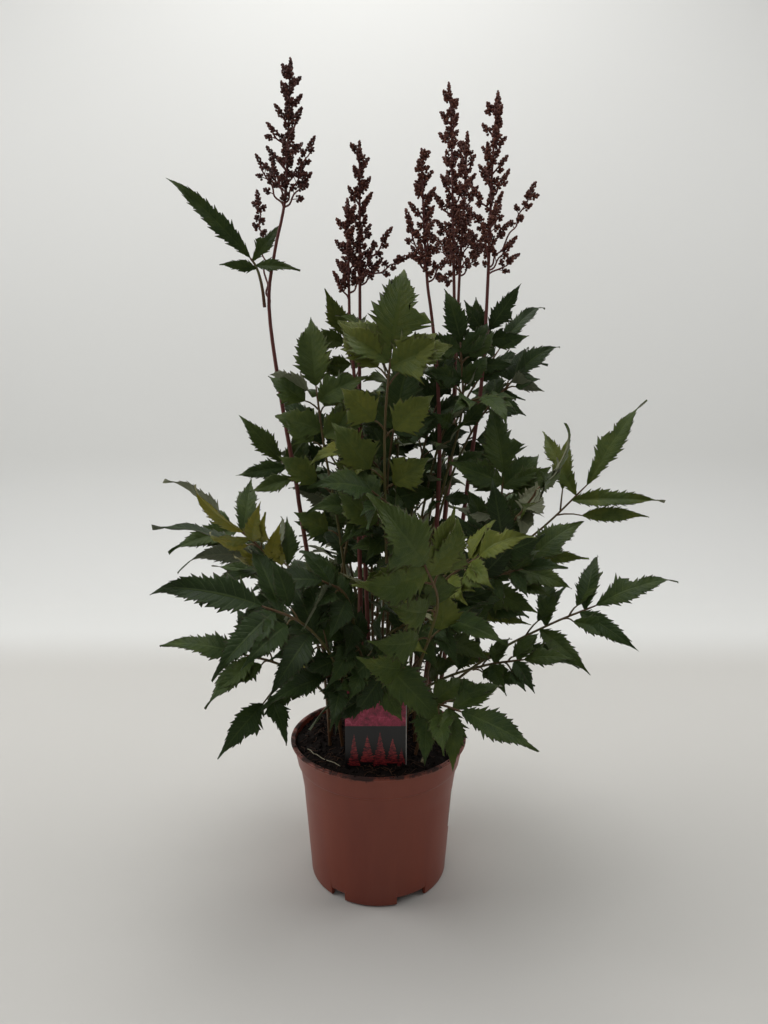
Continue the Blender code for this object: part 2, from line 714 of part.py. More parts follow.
def fix_normals(obj):
    shape = bmesh.new()
    shape.from_mesh(obj.data)
    bmesh.ops.recalc_face_normals(shape, faces=shape.faces)
    shape.to_mesh(obj.data)
    shape.free()


def prism(name, x, y, radius, low, high, sides):
    verts = []
    for z in (low, high):
        for k in range(sides):
            angle = 2 * math.pi * k / sides
            verts.append((x + radius * math.cos(angle), y + radius * math.sin(angle), z))
    faces = [tuple(reversed(range(sides))), tuple(range(sides, 2 * sides))]
    for k in range(sides):
        after = (k + 1) % sides
        faces.append((k, after, sides + after, sides + k))
    return new_object(name, verts, faces)


def radial_box(name, angle, radius, half_width, half_depth, low, high):
    """A box that points out from the pot's axis; angle 0 is the front and positive is to the right."""
    out = Vector((math.sin(angle), -math.cos(angle), 0))
    side = Vector((math.cos(angle), math.sin(angle), 0))
    corners = [(-1, -1), (1, -1), (1, 1), (-1, 1)]
    verts = []
    for z in (low, high):
        for across, depth in corners:
            verts.append(out * (radius + depth * half_depth) + side * across * half_width + Vector((0, 0, z)))
    faces = [(0, 3, 2, 1), (4, 5, 6, 7), (0, 1, 5, 4), (1, 2, 6, 5), (2, 3, 7, 6), (3, 0, 4, 7)]
    obj = new_object(name, verts, faces)
    fix_normals(obj)
    return obj


def make_soil(starts, material):
    bottom = PLATE_BOTTOM + PLATE_THICKNESS + GAP
    edge = [(inside_radius(SOIL_EDGE_Z - 2) - GAP, None)]
    edge += [(inside_radius(z) - GAP, z) for z in (COLLAR_HIGH_Z, COLLAR_LOW_Z, POT_STEP_Z, bottom)]
    narrow = math.cos(math.pi / POT_SIDES)
    verts = [(0, 0, soil_height(0, 0))]
    for radius in SOIL_RINGS:
        for k in range(SOIL_SIDES):
            angle = 2 * math.pi * k / SOIL_SIDES
            x = radius * math.cos(angle)
            y = radius * math.sin(angle)
            verts.append((x, y, soil_height(x, y)))
    for radius, z in edge:
        for k in range(SOIL_SIDES):
            angle = 2 * math.pi * k / SOIL_SIDES
            x = radius * narrow * math.cos(angle)
            y = radius * narrow * math.sin(angle)
            verts.append((x, y, z or soil_height(x, y)))
    verts.append((0, 0, bottom))
    rings = len(SOIL_RINGS) + len(edge)
    faces = []
    for k in range(SOIL_SIDES):
        after = (k + 1) % SOIL_SIDES
        faces.append((0, 1 + k, 1 + after))
        for ring in range(rings - 1):
            low = 1 + ring * SOIL_SIDES
            high = low + SOIL_SIDES
            faces.append((low + k, high + k, high + after, low + after))
        low = 1 + (rings - 1) * SOIL_SIDES
        faces.append((low + k, len(verts) - 1, low + after))
    soil = new_object("soil", verts, faces, material)
    cutters = []
    for start, radius in starts:
        hole_radius = (radius + GAP) / math.cos(math.pi / HOLE_SIDES)
        cutters.append(prism("hole", start.x, start.y, hole_radius, start.z - GAP, start.z + 2 * STEM_DEPTH,
                             HOLE_SIDES))
    cutters.append(label_solid("slot", GAP))
    apply_boolean(soil, "DIFFERENCE", cutters)
    return soil


def label_solid(name, grow, material=None):
    """The plant tag: a plate with round top corners and a tongue that narrows into the soil."""
    middle = (LABEL_LEFT + LABEL_RIGHT) / 2
    tongue = LABEL_TONGUE_HALF + grow
    foot = SOIL_EDGE_Z - LABEL_TONGUE - grow
    shoulder = SOIL_EDGE_Z - LABEL_SHOULDER - grow
    left = LABEL_LEFT - grow
    right = LABEL_RIGHT + grow
    outline = [(middle - tongue, foot), (middle + tongue, foot), (right, shoulder)]
    for quarter, x in ((0, right - LABEL_CORNER), (1, left + LABEL_CORNER)):
        for k in range(LABEL_CORNER_STEPS + 1):
            angle = math.pi / 2 * (quarter + k / LABEL_CORNER_STEPS)
            outline.append((x + LABEL_CORNER * math.cos(angle),
                            LABEL_TOP - LABEL_CORNER + LABEL_CORNER * math.sin(angle)))
    outline.append((left, shoulder))
    half = LABEL_THICKNESS / 2 + grow
    count = len(outline)
    verts = [(x, LABEL_Y - half, z) for x, z in outline] + [(x, LABEL_Y + half, z) for x, z in outline]
    faces = [tuple(range(count)), tuple(reversed(range(count, 2 * count)))]
    for k in range(count):
        after = (k + 1) % count
        faces.append((k, count + k, count + after, after))
    obj = new_object(name, verts, faces, material)
    fix_normals(obj)
    return obj


def make_sticker(material):
    middle = math.radians(STICKER_ANGLE)
    verts = []
    for k in range(STICKER_STEPS + 1):
        for z in (STICKER_LOW, STICKER_HIGH):
            spread = STICKER_HALF_WIDTH / outside_radius(z)
            angle = middle + spread * (2 * k / STICKER_STEPS - 1)
            for lift in (GAP, GAP + STICKER_THICKNESS):
                radius = outside_radius(z) + lift
                verts.append((radius * math.sin(angle), -radius * math.cos(angle), z))
    faces = []
    for k in range(STICKER_STEPS):
        low = 4 * k
        for a, b in ((0, 1), (1, 3), (3, 2), (2, 0)):
            faces.append((low + a, low + b, low + 4 + b, low + 4 + a))
    faces.append((0, 2, 3, 1))
    last = 4 * STICKER_STEPS
    faces.append((last, last + 1, last + 3, last + 2))
    obj = new_object("sticker", verts, faces, material)
    fix_normals(obj)
    return obj


def main():
    for obj in list(bpy.data.objects):
        bpy.data.objects.remove(obj)
    clay = new_material("terracotta coloured plastic", (0.145, 0.045, 0.027), 0.5)
    peat = new_material("peat", (0.012, 0.006, 0.004), 0.95)
    print_face = new_material("printed plastic", (0.45, 0.06, 0.08), 0.4)
    paper = new_material("white paper", (0.7, 0.7, 0.68), 0.6)
    bark = new_material("flower stems and buds", (0.075, 0.018, 0.014), 0.7)
    green = new_material("leaves", (0.04, 0.07, 0.02), 0.5)
    make_pot(clay)
    make_sticker(paper)
    label = label_solid("label", 0.0, print_face)
    taken = Taken()
    corners = [vertex.co / MM for vertex in label.data.vertices]
    taken.add("label", corners, [tuple(face.vertices) for face in label.data.polygons])
    places = seats(len(LEAVES) + len(FLOWER_STEMS))
    stem_paths = {}
    starts = []
    for name in FLOWER_STEMS:
        stem_paths[name] = flower_stem(name, taken, places, bark)
        starts.append((stem_paths[name][0], FLOWER_STEM_R))
    stalks = {}
    for name in LEAVES:
        clashes, *stalk = leaf_stalk(name, taken, places, stem_paths)
        stalks[name] = stalk
        taken.add(name, *stalk[1:])
        if not Leaf(*LEAVES[name]).parent:
            starts.append((stalk[0][0], LEAF_STALK_R * STALK_SWELL))
    for name, stalk in stalks.items():
        grow_leaf(name, stalk, taken, green)
    make_soil(starts, peat)


main()
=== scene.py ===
import math
import random
import bmesh
import bpy
import numpy as np
from mathutils import Matrix, Vector, noise
from mathutils.bvhtree import BVHTree


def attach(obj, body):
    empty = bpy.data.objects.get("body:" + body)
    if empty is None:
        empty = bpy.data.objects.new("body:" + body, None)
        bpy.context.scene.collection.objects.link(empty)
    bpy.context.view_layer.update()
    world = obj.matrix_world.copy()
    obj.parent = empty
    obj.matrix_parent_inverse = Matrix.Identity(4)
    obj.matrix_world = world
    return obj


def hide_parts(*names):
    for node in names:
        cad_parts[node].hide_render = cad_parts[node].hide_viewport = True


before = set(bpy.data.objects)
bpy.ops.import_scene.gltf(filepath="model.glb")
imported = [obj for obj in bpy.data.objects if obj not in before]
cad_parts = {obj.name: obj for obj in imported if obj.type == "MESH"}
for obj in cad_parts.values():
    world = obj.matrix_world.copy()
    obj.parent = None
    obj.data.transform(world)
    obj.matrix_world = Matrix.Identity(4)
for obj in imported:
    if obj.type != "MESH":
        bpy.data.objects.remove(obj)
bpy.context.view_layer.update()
print("frame loaded:", len(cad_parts), "nodes")

mm = 0.001
goldenAngle = math.radians(137.508)
fullTurn = 2 * math.pi

# How the plant is laid out, in millimetres: the same places as the frame's own
soilBed = {
    "edgeZ": 111.5, "crown": 7.0, "spread": 72.0, "rough": 1.6,
    "stemDepth": 12.0, "seatSpread": 6.6, "seatPull": 0.3,
}
up = (0, 0, 1)
front = (0, -1, 0.35)
frontUp = (0, -0.7, 0.8)
leftward = (-0.8, -0.5, 0.5)
rightward = (0.8, -0.5, 0.5)
backUp = (0, 0.5, 0.9)

# leaflets: back along the stalk, side angle, own stalk, turn, length, as parts of the end leaflet
trio = ((0.0, 0, 0.0, 0, 1.0), (0.14, 58, 0.0, 0, 0.82), (0.2, -60, 0.0, 0, 0.78))
five = trio + ((0.62, 66, 0.0, 0, 0.74), (0.7, -64, 0.0, 0, 0.76))
seven = trio + ((0.7, 60, 0.55, 0, 0.8), (0.7, 60, 0.42, 58, 0.62), (0.8, -60, 0.55, 0, 0.8),
                (0.8, -60, 0.42, -58, 0.62))
pairs = trio + ((0.55, 62, 0.0, 0, 0.76), (0.63, -60, 0.0, 0, 0.78), (1.05, 66, 0.0, 0, 0.66),
                (1.14, -64, 0.0, 0, 0.68))
spread = ((0.0, 0, 0.0, 0, 1.0), (0.04, -92, 0.0, 0, 0.5), (0.09, -142, 0.0, 0, 0.42),
          (0.12, 38, 0.0, 0, 0.34))

# each leaf: hub, end leaflet's tip, its width, its face, its leaflets, the flower stem it grows on
leaves = {
    "leaf_stem_high": ((-105, 0, 520), (-170, -10, 582), 17, front, spread, ("flower_left", 480)),
    "leaf_stem_low": ((-84, 16, 352), (-120, 15, 392), 19, front, five, ("flower_left", 335)),
    "leaf_front_big": ((30, -145, 297), (-5, -165, 345), 34, front, trio, None),
    "leaf_left_big": ((-80, -110, 260), (-155, -125, 280), 26, frontUp, five, None),
    "leaf_left_low": ((-100, -80, 215), (-160, -90, 230), 22, frontUp, seven, None),
    "leaf_left_young": ((-100, -70, 305), (-135, -80, 340), 16, leftward, pairs, None),
    "leaf_left_dark": ((-105, -30, 280), (-185, -20, 305), 20, up, pairs, None),
    "leaf_left_far": ((-135, 40, 295), (-200, 50, 340), 24, frontUp, five, None),
    "leaf_olive_left": ((-50, -20, 415), (-55, -5, 472), 32, front, five, None),
    "leaf_olive_centre": ((10, -60, 440), (20, -45, 505), 38, front, trio, None),
    "leaf_top_left": ((-30, 20, 460), (-45, 10, 497), 18, front, five, None),
    "leaf_top_centre": ((-5, -12, 450), (-30, -38, 472), 20, frontUp, trio, None),
    "leaf_top_mid_right": ((66, -18, 450), (53, -22, 494), 20, front, five, None),
    "leaf_top_right": ((92, 0, 462), (110, -10, 502), 17, front, five, None),
    "leaf_top_far_right": ((104, 22, 448), (145, 30, 495), 17, frontUp, five, None),
    "leaf_right_high": ((115, -5, 425), (145, -15, 452), 20, frontUp, five, None),
    "leaf_right_small": ((80, -40, 405), (97, -76, 388), 18, up, trio, None),
    "leaf_right_upright": ((100, -30, 345), (90, -20, 400), 30, front, five, None),
    "leaf_right_pale": ((125, -70, 345), (142, -86, 384), 27, rightward, five, None),
    "leaf_far_right_high": ((185, 30, 330), (240, 40, 410), 20, frontUp, trio, None),
    "leaf_right_mid": ((125, -10, 270), (175, 0, 305), 28, frontUp, five, None),
    "leaf_far_right": ((180, -20, 235), (245, -30, 265), 21, frontUp, five, None),
    "leaf_right_fan": ((110, -60, 275), (141, -74, 278), 15, frontUp, five, None),
    "leaf_right_low": ((115, -50, 200), (152, -62, 206), 17, frontUp, five, None),
    "leaf_low_right": ((60, -100, 180), (110, -120, 160), 24, frontUp, five, None),
    "leaf_low_left": ((-40, -70, 194), (-82, -108, 185), 20, frontUp, trio, None),
    "leaf_left_behind": ((-50, 50, 365), (-90, 40, 412), 30, front, pairs, None),
    "leaf_mid_small": ((-20, -30, 365), (-54, -56, 366), 18, frontUp, five, None),
    "leaf_mid_left": ((-5, -60, 335), (-50, -88, 342), 26, frontUp, pairs, None),
    "leaf_mid_deep": ((-10, -20, 315), (-60, -24, 326), 26, frontUp, pairs, None),
    "leaf_front_pale": ((70, -110, 295), (100, -132, 318), 20, frontUp, five, None),
    "leaf_centre_high": ((10, 30, 375), (34, 42, 428), 28, front, pairs, None),
    "leaf_centre_right": ((50, 0, 405), (68, 12, 454), 24, front, five, None),
    "leaf_centre_dark": ((14, -20, 390), (28, -6, 448), 30, front, pairs, None),
    "leaf_right_inner": ((95, -60, 295), (101, -72, 346), 24, front, pairs, None),
    "leaf_left_inner": ((-42, -70, 268), (-92, -90, 276), 25, frontUp, pairs, None),
    "leaf_low_inner_left": ((-25, -60, 220), (-70, -84, 236), 24, frontUp, pairs, None),
    "leaf_low_inner_right": ((50, -70, 238), (92, -104, 230), 24, frontUp, pairs, None),
    "leaf_back_left_high": ((-60, 90, 330), (-90, 140, 350), 28, backUp, five, None),
    "leaf_back_high": ((0, 110, 360), (0, 165, 385), 26, backUp, pairs, None),
    "leaf_back_right_high": ((60, 100, 340), (95, 145, 355), 28, backUp, five, None),
    "leaf_back_right": ((110, 70, 300), (160, 100, 320), 26, up, five, None),
    "leaf_back_left": ((-110, 80, 260), (-160, 115, 265), 26, up, five, None),
    "leaf_back_mid_left": ((-40, 120, 250), (-60, 175, 245), 26, backUp, five, None),
    "leaf_back_mid_right": ((45, 125, 260), (65, 180, 260), 24, backUp, pairs, None),
    "leaf_back_low_right": ((110, 100, 205), (150, 140, 195), 24, up, five, None),
    "leaf_back_low_left": ((-90, 100, 190), (-130, 140, 180), 24, up, five, None),
    "leaf_back_low": ((0, 95, 195), (5, 150, 185), 24, backUp, five, None),
    "leaf_back_top": ((20, 60, 420), (40, 105, 450), 24, backUp, five, None),
}
leafBuild = {
    "stalkR": 1.3, "fold": 0.16, "curl": math.radians(34), "overlap": 0.3, "widest": 0.36, "shoulder": 0.7,
    "taper": 0.8, "leastWidth": 0.4, "toothReach": 1.15, "sizes": (1.0, 0.82, 0.66), "crossing": 4,
    "nudges": (0, 9, -9, 18, -18, 28, -28, 38, -38), "clearance": 1.7, "gap": 0.35,
    "stations": (0.03, 0.14, 0.25, 0.36, 0.48, 0.6, 0.71, 0.82, 0.92, 1.0),
}

# each flower stem: its route, where its plume starts, its longest branch, its outstanding sprays
flowerStems = {
    "flower_left": (
        ((-45, 20), (-65, 10, 295), (-70, 5, 335), (-90, 0, 480), (-76, 0, 565), (-70, 0, 675)),
        560, 34, ((563, (-52, 0, 614)), (560, (-97, -5, 598)), (482, (-100, 10, 575)))),
    "flower_centre": (
        ((-5, 10), (-15, 0, 380), (-15, -3, 455), (-15, -3, 505), (-15, -3, 575), (-15, -3, 610)),
        497, 27, ((508, (10, -10, 540)), (504, (25, -15, 518)))),
    "flower_centre_low": (
        ((-10, -8), (-17, -20, 380), (-22, -20, 450), (-23, -20, 485), (-24, -20, 560)),
        488, 22, ((482, (-34, -26, 502)),)),
    "flower_right_inner": (
        ((40, 0), (50, -14, 345), (45, -19, 450), (39, -22, 495), (35, -24, 560), (34, -24, 596)),
        496, 25, ((500, (22, -30, 548)),)),
    "flower_right_tall": (
        ((48, 16), (63, 12, 380), (64, 12, 465), (63, 12, 520), (60, 12, 635), (58, 12, 662)),
        508, 33, ((512, (50, -8, 500)),)),
    "flower_right_outer": (
        ((62, 0), (76, -5, 345), (85, -7, 420), (89, -8, 505), (91, -8, 585), (95, -8, 646)),
        508, 33, ((510, (126, -5, 577)), (505, (114, 0, 522)))),
    "flower_right_back": (
        ((52, 34), (64, 34, 345), (70, 34, 500), (74, 34, 580), (76, 34, 632)),
        512, 30, ()),
}
flowerBuild = {
    "stemR": 1.7, "tipR": 0.7, "branchStep": 11.5, "branchShortest": 7.0, "branchRise": 50,
    "budR": 3.3, "neckR": 0.9, "budStep": 7.2, "budSwing": 1.4, "taperFrom": 150.0,
}


def soilHeight(x, y):
    radius = math.hypot(x, y) / soilBed["spread"]
    rough = soilBed["rough"] * noise.noise(Vector((x, y, 5.0)) / 17.0)
    return soilBed["edgeZ"] + soilBed["crown"] * (1 - radius * radius) + rough


def spline(points, steps):        # a smooth curve through all the points
    ends = [2 * points[0] - points[1]] + list(points) + [2 * points[-1] - points[-2]]
    curve = []
    for k in range(1, len(ends) - 2):
        a, b, c, d = ends[k - 1:k + 3]
        for step in range(steps):
            t = step / steps
            curve.append(0.5 * (2 * b + (c - a) * t + (2 * a - 5 * b + 4 * c - d) * t * t
                                + (3 * b - a - 3 * c + d) * t ** 3))
    curve.append(points[-1].copy())
    return curve


def tube(path, radii, sides):
    verts = []
    faces = []
    heading = (path[1] - path[0]).normalized()
    side = heading.orthogonal().normalized()
    last = len(path) - 1
    for k, point in enumerate(path):
        ahead = path[min(k + 1, last)] - path[max(k - 1, 0)]
        turn = heading.rotation_difference(ahead.normalized())
        heading = ahead.normalized()
        side = (turn @ side).normalized()
        other = heading.cross(side)
        for j in range(sides):
            angle = fullTurn * j / sides
            verts.append(point + radii[k] * (math.cos(angle) * side + math.sin(angle) * other))
    for k in range(last):
        for j in range(sides):
            after = (j + 1) % sides
            low = k * sides
            high = low + sides
            faces.append((low + j, low + after, high + after, high + j))
    faces.append(tuple(reversed(range(sides))))
    faces.append(tuple(last * sides + j for j in range(sides)))
    return verts, faces


def around(turn, rise=0.0):        # a heading, turned about Z and raised
    return Vector((math.cos(turn) * math.cos(rise), math.sin(turn) * math.cos(rise), math.sin(rise)))


def rotated(heading, angle, axis):
    out = heading.copy()
    out.rotate(Matrix.Rotation(angle, 3, axis))
    return out


def squareTo(face, axis):        # the heading nearest to a face that is square to an axis
    return (face - face.dot(axis) / axis.dot(axis) * axis).normalized()


def joinRings(rings):        # rings of points joined into one solid, closed by the first and the last
    count = len(rings[0])
    verts = [point for ring in rings for point in ring]
    faces = [tuple(range(count)), tuple(reversed(range(len(verts) - count, len(verts))))]
    for low in range(0, len(verts) - count, count):
        for k in range(count):
            after = (k + 1) % count
            faces.append((low + k, low + count + k, low + count + after, low + after))
    return verts, faces


def pointBack(path, distance):        # the point that lies a distance back from a path's end
    for k in range(len(path) - 1, 0, -1):
        piece = path[k] - path[k - 1]
        if distance <= piece.length:
            return path[k] - piece.normalized() * distance
        distance -= piece.length
    return path[0].lerp(path[1], 0.5)


def atHeight(path, z):
    for low, high in zip(path, path[1:]):
        if low.z <= z <= high.z:
            return low.lerp(high, (z - low.z) / (high.z - low.z))
    return path[-1].copy()


class Leaflet:        # a blade from base to tip, arched along its length and folded up from its rib
    def __init__(self, base, tip, width, face):
        self.base = base
        self.width = width
        chord = tip - base
        self.length = chord.length
        self.along = chord.normalized()
        self.normal = (face - face.dot(self.along) * self.along).normalized()
        self.side = self.normal.cross(self.along)

    def turned(self, pitch, yaw):
        tip = self.along * self.length
        tip.rotate(Matrix.Rotation(math.radians(yaw), 3, self.normal))
        tip.rotate(Matrix.Rotation(math.radians(pitch), 3, self.side))
        return Leaflet(self.base, self.base + tip, self.width, self.normal)

    def at(self, part, across, lift=0.0):
        half = leafBuild["curl"] / 2
        angle = half - leafBuild["curl"] * part
        scale = self.length / (2 * math.sin(half))
        ahead = scale * (math.sin(half) - math.sin(angle))
        rise = scale * (math.cos(angle) - math.cos(half))
        normal = self.normal * math.cos(angle) - self.along * math.sin(angle)
        return (self.base + self.along * ahead + self.normal * rise + self.side * across
                + normal * (abs(across) * leafBuild["fold"] + lift))

    def halfWidth(self, part):
        widest = leafBuild["widest"]
        if part < widest:
            return self.width / 2 * (part / widest) ** leafBuild["shoulder"]
        return self.width / 2 * ((1 - part) / (1 - widest)) ** leafBuild["taper"]

    def sheet(self):
        verts = []
        for part in leafBuild["stations"]:
            reach = self.halfWidth(part) * leafBuild["toothReach"]
            verts += [self.at(part, -reach), self.at(part, 0), self.at(part, reach)]
        faces = []
        for k in range(len(leafBuild["stations"]) - 1):
            for j in range(2):
                low = 3 * k + j
                faces.append((low, low + 1, low + 4, low + 3))
        return verts, faces


class Taken:        # the room that is taken already, so that what grows later is bent clear of it
    def __init__(self):
        self.shapes = []

    def add(self, owner, verts, faces):
        low = [min(v[axis] for v in verts) for axis in range(3)]
        high = [max(v[axis] for v in verts) for axis in range(3)]
        self.shapes.append((owner, low, high, verts, BVHTree.FromPolygons(verts, faces)))

    def clashes(self, owners, verts, faces):
        near = leafBuild["clearance"]
        low = [min(v[axis] for v in verts) - near for axis in range(3)]
        high = [max(v[axis] for v in verts) + near for axis in range(3)]
        tree = None
        count = 0
        for owner, otherLow, otherHigh, otherVerts, otherTree in self.shapes:
            if owner in owners:
                continue
            if any(low[k] > otherHigh[k] or high[k] < otherLow[k] for k in range(3)):
                continue
            tree = tree or BVHTree.FromPolygons(verts, faces)
            if tree.overlap(otherTree):
                count += leafBuild["crossing"]
            elif any(otherTree.find_nearest(v, near)[0] for v in verts):
                count += 1
            elif any(tree.find_nearest(v, near)[0] for v in otherVerts):
                count += 1
        return count

    def best(self, owners, options):
        found = None
        for option, verts, faces in options:
            clashes = self.clashes(owners, verts, faces)
            if found is None or clashes < found[0]:
                found = (clashes, option, verts, faces)
            if clashes == 0:
                break
        return found


def takeSeat(places, x, y):
    nearest = min(places, key=lambda seat: (seat[0] - x) ** 2 + (seat[1] - y) ** 2)
    places.remove(nearest)
    return nearest


def soilStart(x, y):
    top = soilHeight(x, y)
    return [Vector((x, y, top - soilBed["stemDepth"])), Vector((x, y, top + 3))]


def beadBranch(root, tip):        # a side branch, and the middles of its bud clusters
    run = tip - root
    heading = run.normalized()
    side = heading.orthogonal().normalized()
    path = [root]
    radii = [flowerBuild["neckR"]]
    middles = []
    buds = max(1, round((run.length - 3) / flowerBuild["budStep"]))
    for bud in range(buds):
        swing = rotated(side, bud * 2.4, heading)
        droop = Vector((0, 0, -1)) * run.length * 0.06 * math.sin(math.pi * (bud + 1) / buds)
        middle = root + run * ((bud + 0.75) / buds) + swing * flowerBuild["budSwing"] + droop
        neck = root + run * ((bud + 1.2) / buds) + droop
        size = flowerBuild["budR"] * (1.1 - 0.35 * bud / buds)
        path.append(middle)
        radii.append(size)
        middles.append((middle, size))
        if bud < buds - 1:
            path.append(neck)
            radii.append(flowerBuild["neckR"])
        else:
            path.append(middle + heading * size * 1.4)
            radii.append(flowerBuild["neckR"] * 0.6)
    return (root, tip, middles), *tube(path, radii, 3)


def layFlowerStem(name, taken, places):
    route, plumeFoot, longest, sprays = flowerStems[name]
    seat = takeSeat(places, *route[0])
    points = soilStart(*seat) + [Vector(p) for p in route[1:]]
    path = points[:1] + spline(points[1:], 2)
    height = path[-1].z
    stemR = flowerBuild["stemR"]
    base = flowerBuild["taperFrom"]
    radii = [stemR + (flowerBuild["tipR"] - stemR) * max(0, p.z - base) / (height - base) for p in path]
    taken.add(name, *tube(path, radii, 4))
    branches = []
    for rootZ, tip in sprays:
        branch = beadBranch(atHeight(path, rootZ), Vector(tip))
        branches.append(branch[0])
        taken.add(name + " branch", *branch[1:])
    z = plumeFoot
    turn = 0
    shortest = flowerBuild["branchShortest"]
    while z < height - shortest:
        reach = longest + (shortest - longest) * (z - plumeFoot) / (height - plumeFoot)
        root = atHeight(path, z)
        options = []
        for shorter in (1.0, 0.75, 0.5):
            for nudge in (0, 25, -25, 50, -50):
                azimuth = turn * goldenAngle + math.radians(nudge)
                out = around(azimuth, math.radians(flowerBuild["branchRise"]))
                options.append(beadBranch(root, root + out * reach * shorter))
        found = taken.best((name, name + " branch"), options)
        if found[0] == 0:
            branches.append(found[1])
            taken.add(name + " branch", *found[2:])
        z += flowerBuild["branchStep"]
        turn += 1
    return path, branches


def layStalk(name, taken, places, stemPaths):
    hub, tip, width, face, plan, parent = leaves[name]
    stalkR = leafBuild["stalkR"]
    hub = Vector(hub)
    heading = (Vector(tip) - hub).normalized()
    owners = [name]
    if parent:
        stem, height = parent
        owners.append(stem)
        root = atHeight(stemPaths[stem], height)
        out = Vector((hub.x - root.x, hub.y - root.y, 0)).normalized()
        start = [root + out * (flowerBuild["stemR"] + stalkR * 1.2 + leafBuild["gap"])]
        rise = (hub - root).length * 0.4
    else:
        start = soilStart(*takeSeat(places, hub.x * soilBed["seatPull"], hub.y * soilBed["seatPull"]))
        rise = (hub.z - start[-1].z) * 0.55
    reach = (hub - start[-1]).length
    across = Vector((-hub.y, hub.x, 0)).normalized()
    options = []
    for bend in (0, 8, -8, 16, -16, 24, -24):
        for swell in (0, 0.15, -0.15):
            first = start[-1] + Vector((0, 0, rise * (1 + swell))) + across * bend
            last = hub - heading * reach * 0.22
            curve = []
            for step in range(1, 5):
                t = step / 4
                curve.append(start[-1] * (1 - t) ** 3 + first * 3 * t * (1 - t) ** 2
                             + last * 3 * t * t * (1 - t) + hub * t ** 3)
            path = start + curve
            radii = [stalkR * (1.1 - 0.35 * k / (len(path) - 1)) for k in range(len(path))]
            options.append((path, *tube(path, radii, 3)))
    return taken.best(owners, options)


def bestLeaflet(name, taken, root, run, width, normal):        # turned or made smaller until it is clear
    found = None
    for size in leafBuild["sizes"]:
        base = root - run.normalized() * leafBuild["overlap"]
        blade = Leaflet(base, root + run * size, width * size, normal)
        options = []
        for pitch in leafBuild["nudges"]:
            for yaw in leafBuild["nudges"]:
                nudged = blade.turned(pitch, yaw)
                options.append((nudged, *nudged.sheet()))
        options.sort(key=lambda option: -option[0].along.dot(blade.along))
        found = taken.best((name,), options)
        if found[0] == 0:
            break
    return found


def layLeaflets(name, path, taken):
    hub, tip, width, face, plan, parent = leaves[name]
    axis = Vector(tip) - Vector(hub)
    normal = squareTo(Vector(face), axis)
    blades = []
    twigs = []
    for back, angle, stalkPart, turn, ratio in plan:
        root = pointBack(path, back * axis.length)
        out = rotated(axis.normalized(), math.radians(angle), normal)
        if stalkPart:
            foot = root
            root = foot + out * stalkPart * axis.length
            if turn == 0:
                twigs.append((foot, root))
        out.rotate(Matrix.Rotation(math.radians(turn), 3, normal))
        bladeWidth = width * (leafBuild["leastWidth"] + (1 - leafBuild["leastWidth"]) * ratio)
        found = bestLeaflet(name, taken, root, out * ratio * axis.length, bladeWidth, normal)
        if found[0] < leafBuild["crossing"]:
            taken.add(name, *found[2:])
            blades.append(found[1])
    return blades, twigs


def seatPlaces():        # where stems may stand in the soil, in a spiral
    places = []
    for k in range(len(leaves) + len(flowerStems)):
        radius = soilBed["seatSpread"] * math.sqrt(k + 0.5)
        places.append((radius * math.cos(k * goldenAngle), radius * math.sin(k * goldenAngle)))
    return places


def layPlant():
    taken = Taken()
    places = seatPlaces()
    half = labelCard["thickness"] / 2
    tag = labelOutline(0)
    taken.add("label", *joinRings([[Vector((x, labelCard["y"] + depth, z)) for x, z in tag]
                                   for depth in (-half, half)]))
    stems = {}
    for name in flowerStems:
        stems[name] = layFlowerStem(name, taken, places)
    stemPaths = {name: stem[0] for name, stem in stems.items()}
    stalks = {}
    for name in leaves:
        stalk = layStalk(name, taken, places, stemPaths)
        stalks[name] = stalk[1]
        taken.add(name, *stalk[2:])
    fronds = {}
    for name, path in stalks.items():
        fronds[name] = (path, *layLeaflets(name, path, taken))
    for name, (path, blades, twigs) in fronds.items():
        fillFrond(name, path, blades, twigs, taken)
    return stems, fronds


# smaller leaflets between and behind the frame's own: back along the stalk, side angle, length
filling = {
    "places": ((0.34, 44, 0.62), (0.4, -46, 0.58), (0.9, 40, 0.6), (0.98, -44, 0.62), (1.5, 58, 0.66),
               (1.6, -56, 0.6), (2.1, 60, 0.62), (2.25, -62, 0.58), (2.9, 52, 0.5)),
    "ahead": 4.0, "twig": 0.24, "twigSpread": (0.4, 1.2), "sizeSpread": (0.85, 1.15),
    "lowest": 168.0, "angleSpread": 14.0,
}

# leaflets that hang in front of the tag and over the rim: base, tip, width and face
overhang = {
    "leaf_low_left": (
        ((-9, -62, 176), (-39, -71, 160), 19, front),
        ((4, -60, 192), (-19, -73, 163), 22, front),
        ((-30, -60, 204), (-62, -72, 192), 20, frontUp)),
    "leaf_low_right": (
        ((3, -61, 184), (19, -74, 160), 18, front),
        ((0, -62, 208), (58, -92, 156), 28, front),
        ((-4, -58, 205), (-27, -68, 184), 20, front)),
}


def hangLeaflets(name, path, blades, twigs):
    for base, tip, width, face in overhang.get(name, ()):
        base = Vector(base)
        blades.append(Leaflet(base, Vector(tip), width, Vector(face)))
        twigs.append((min(path, key=lambda point: (point - base).length), base))


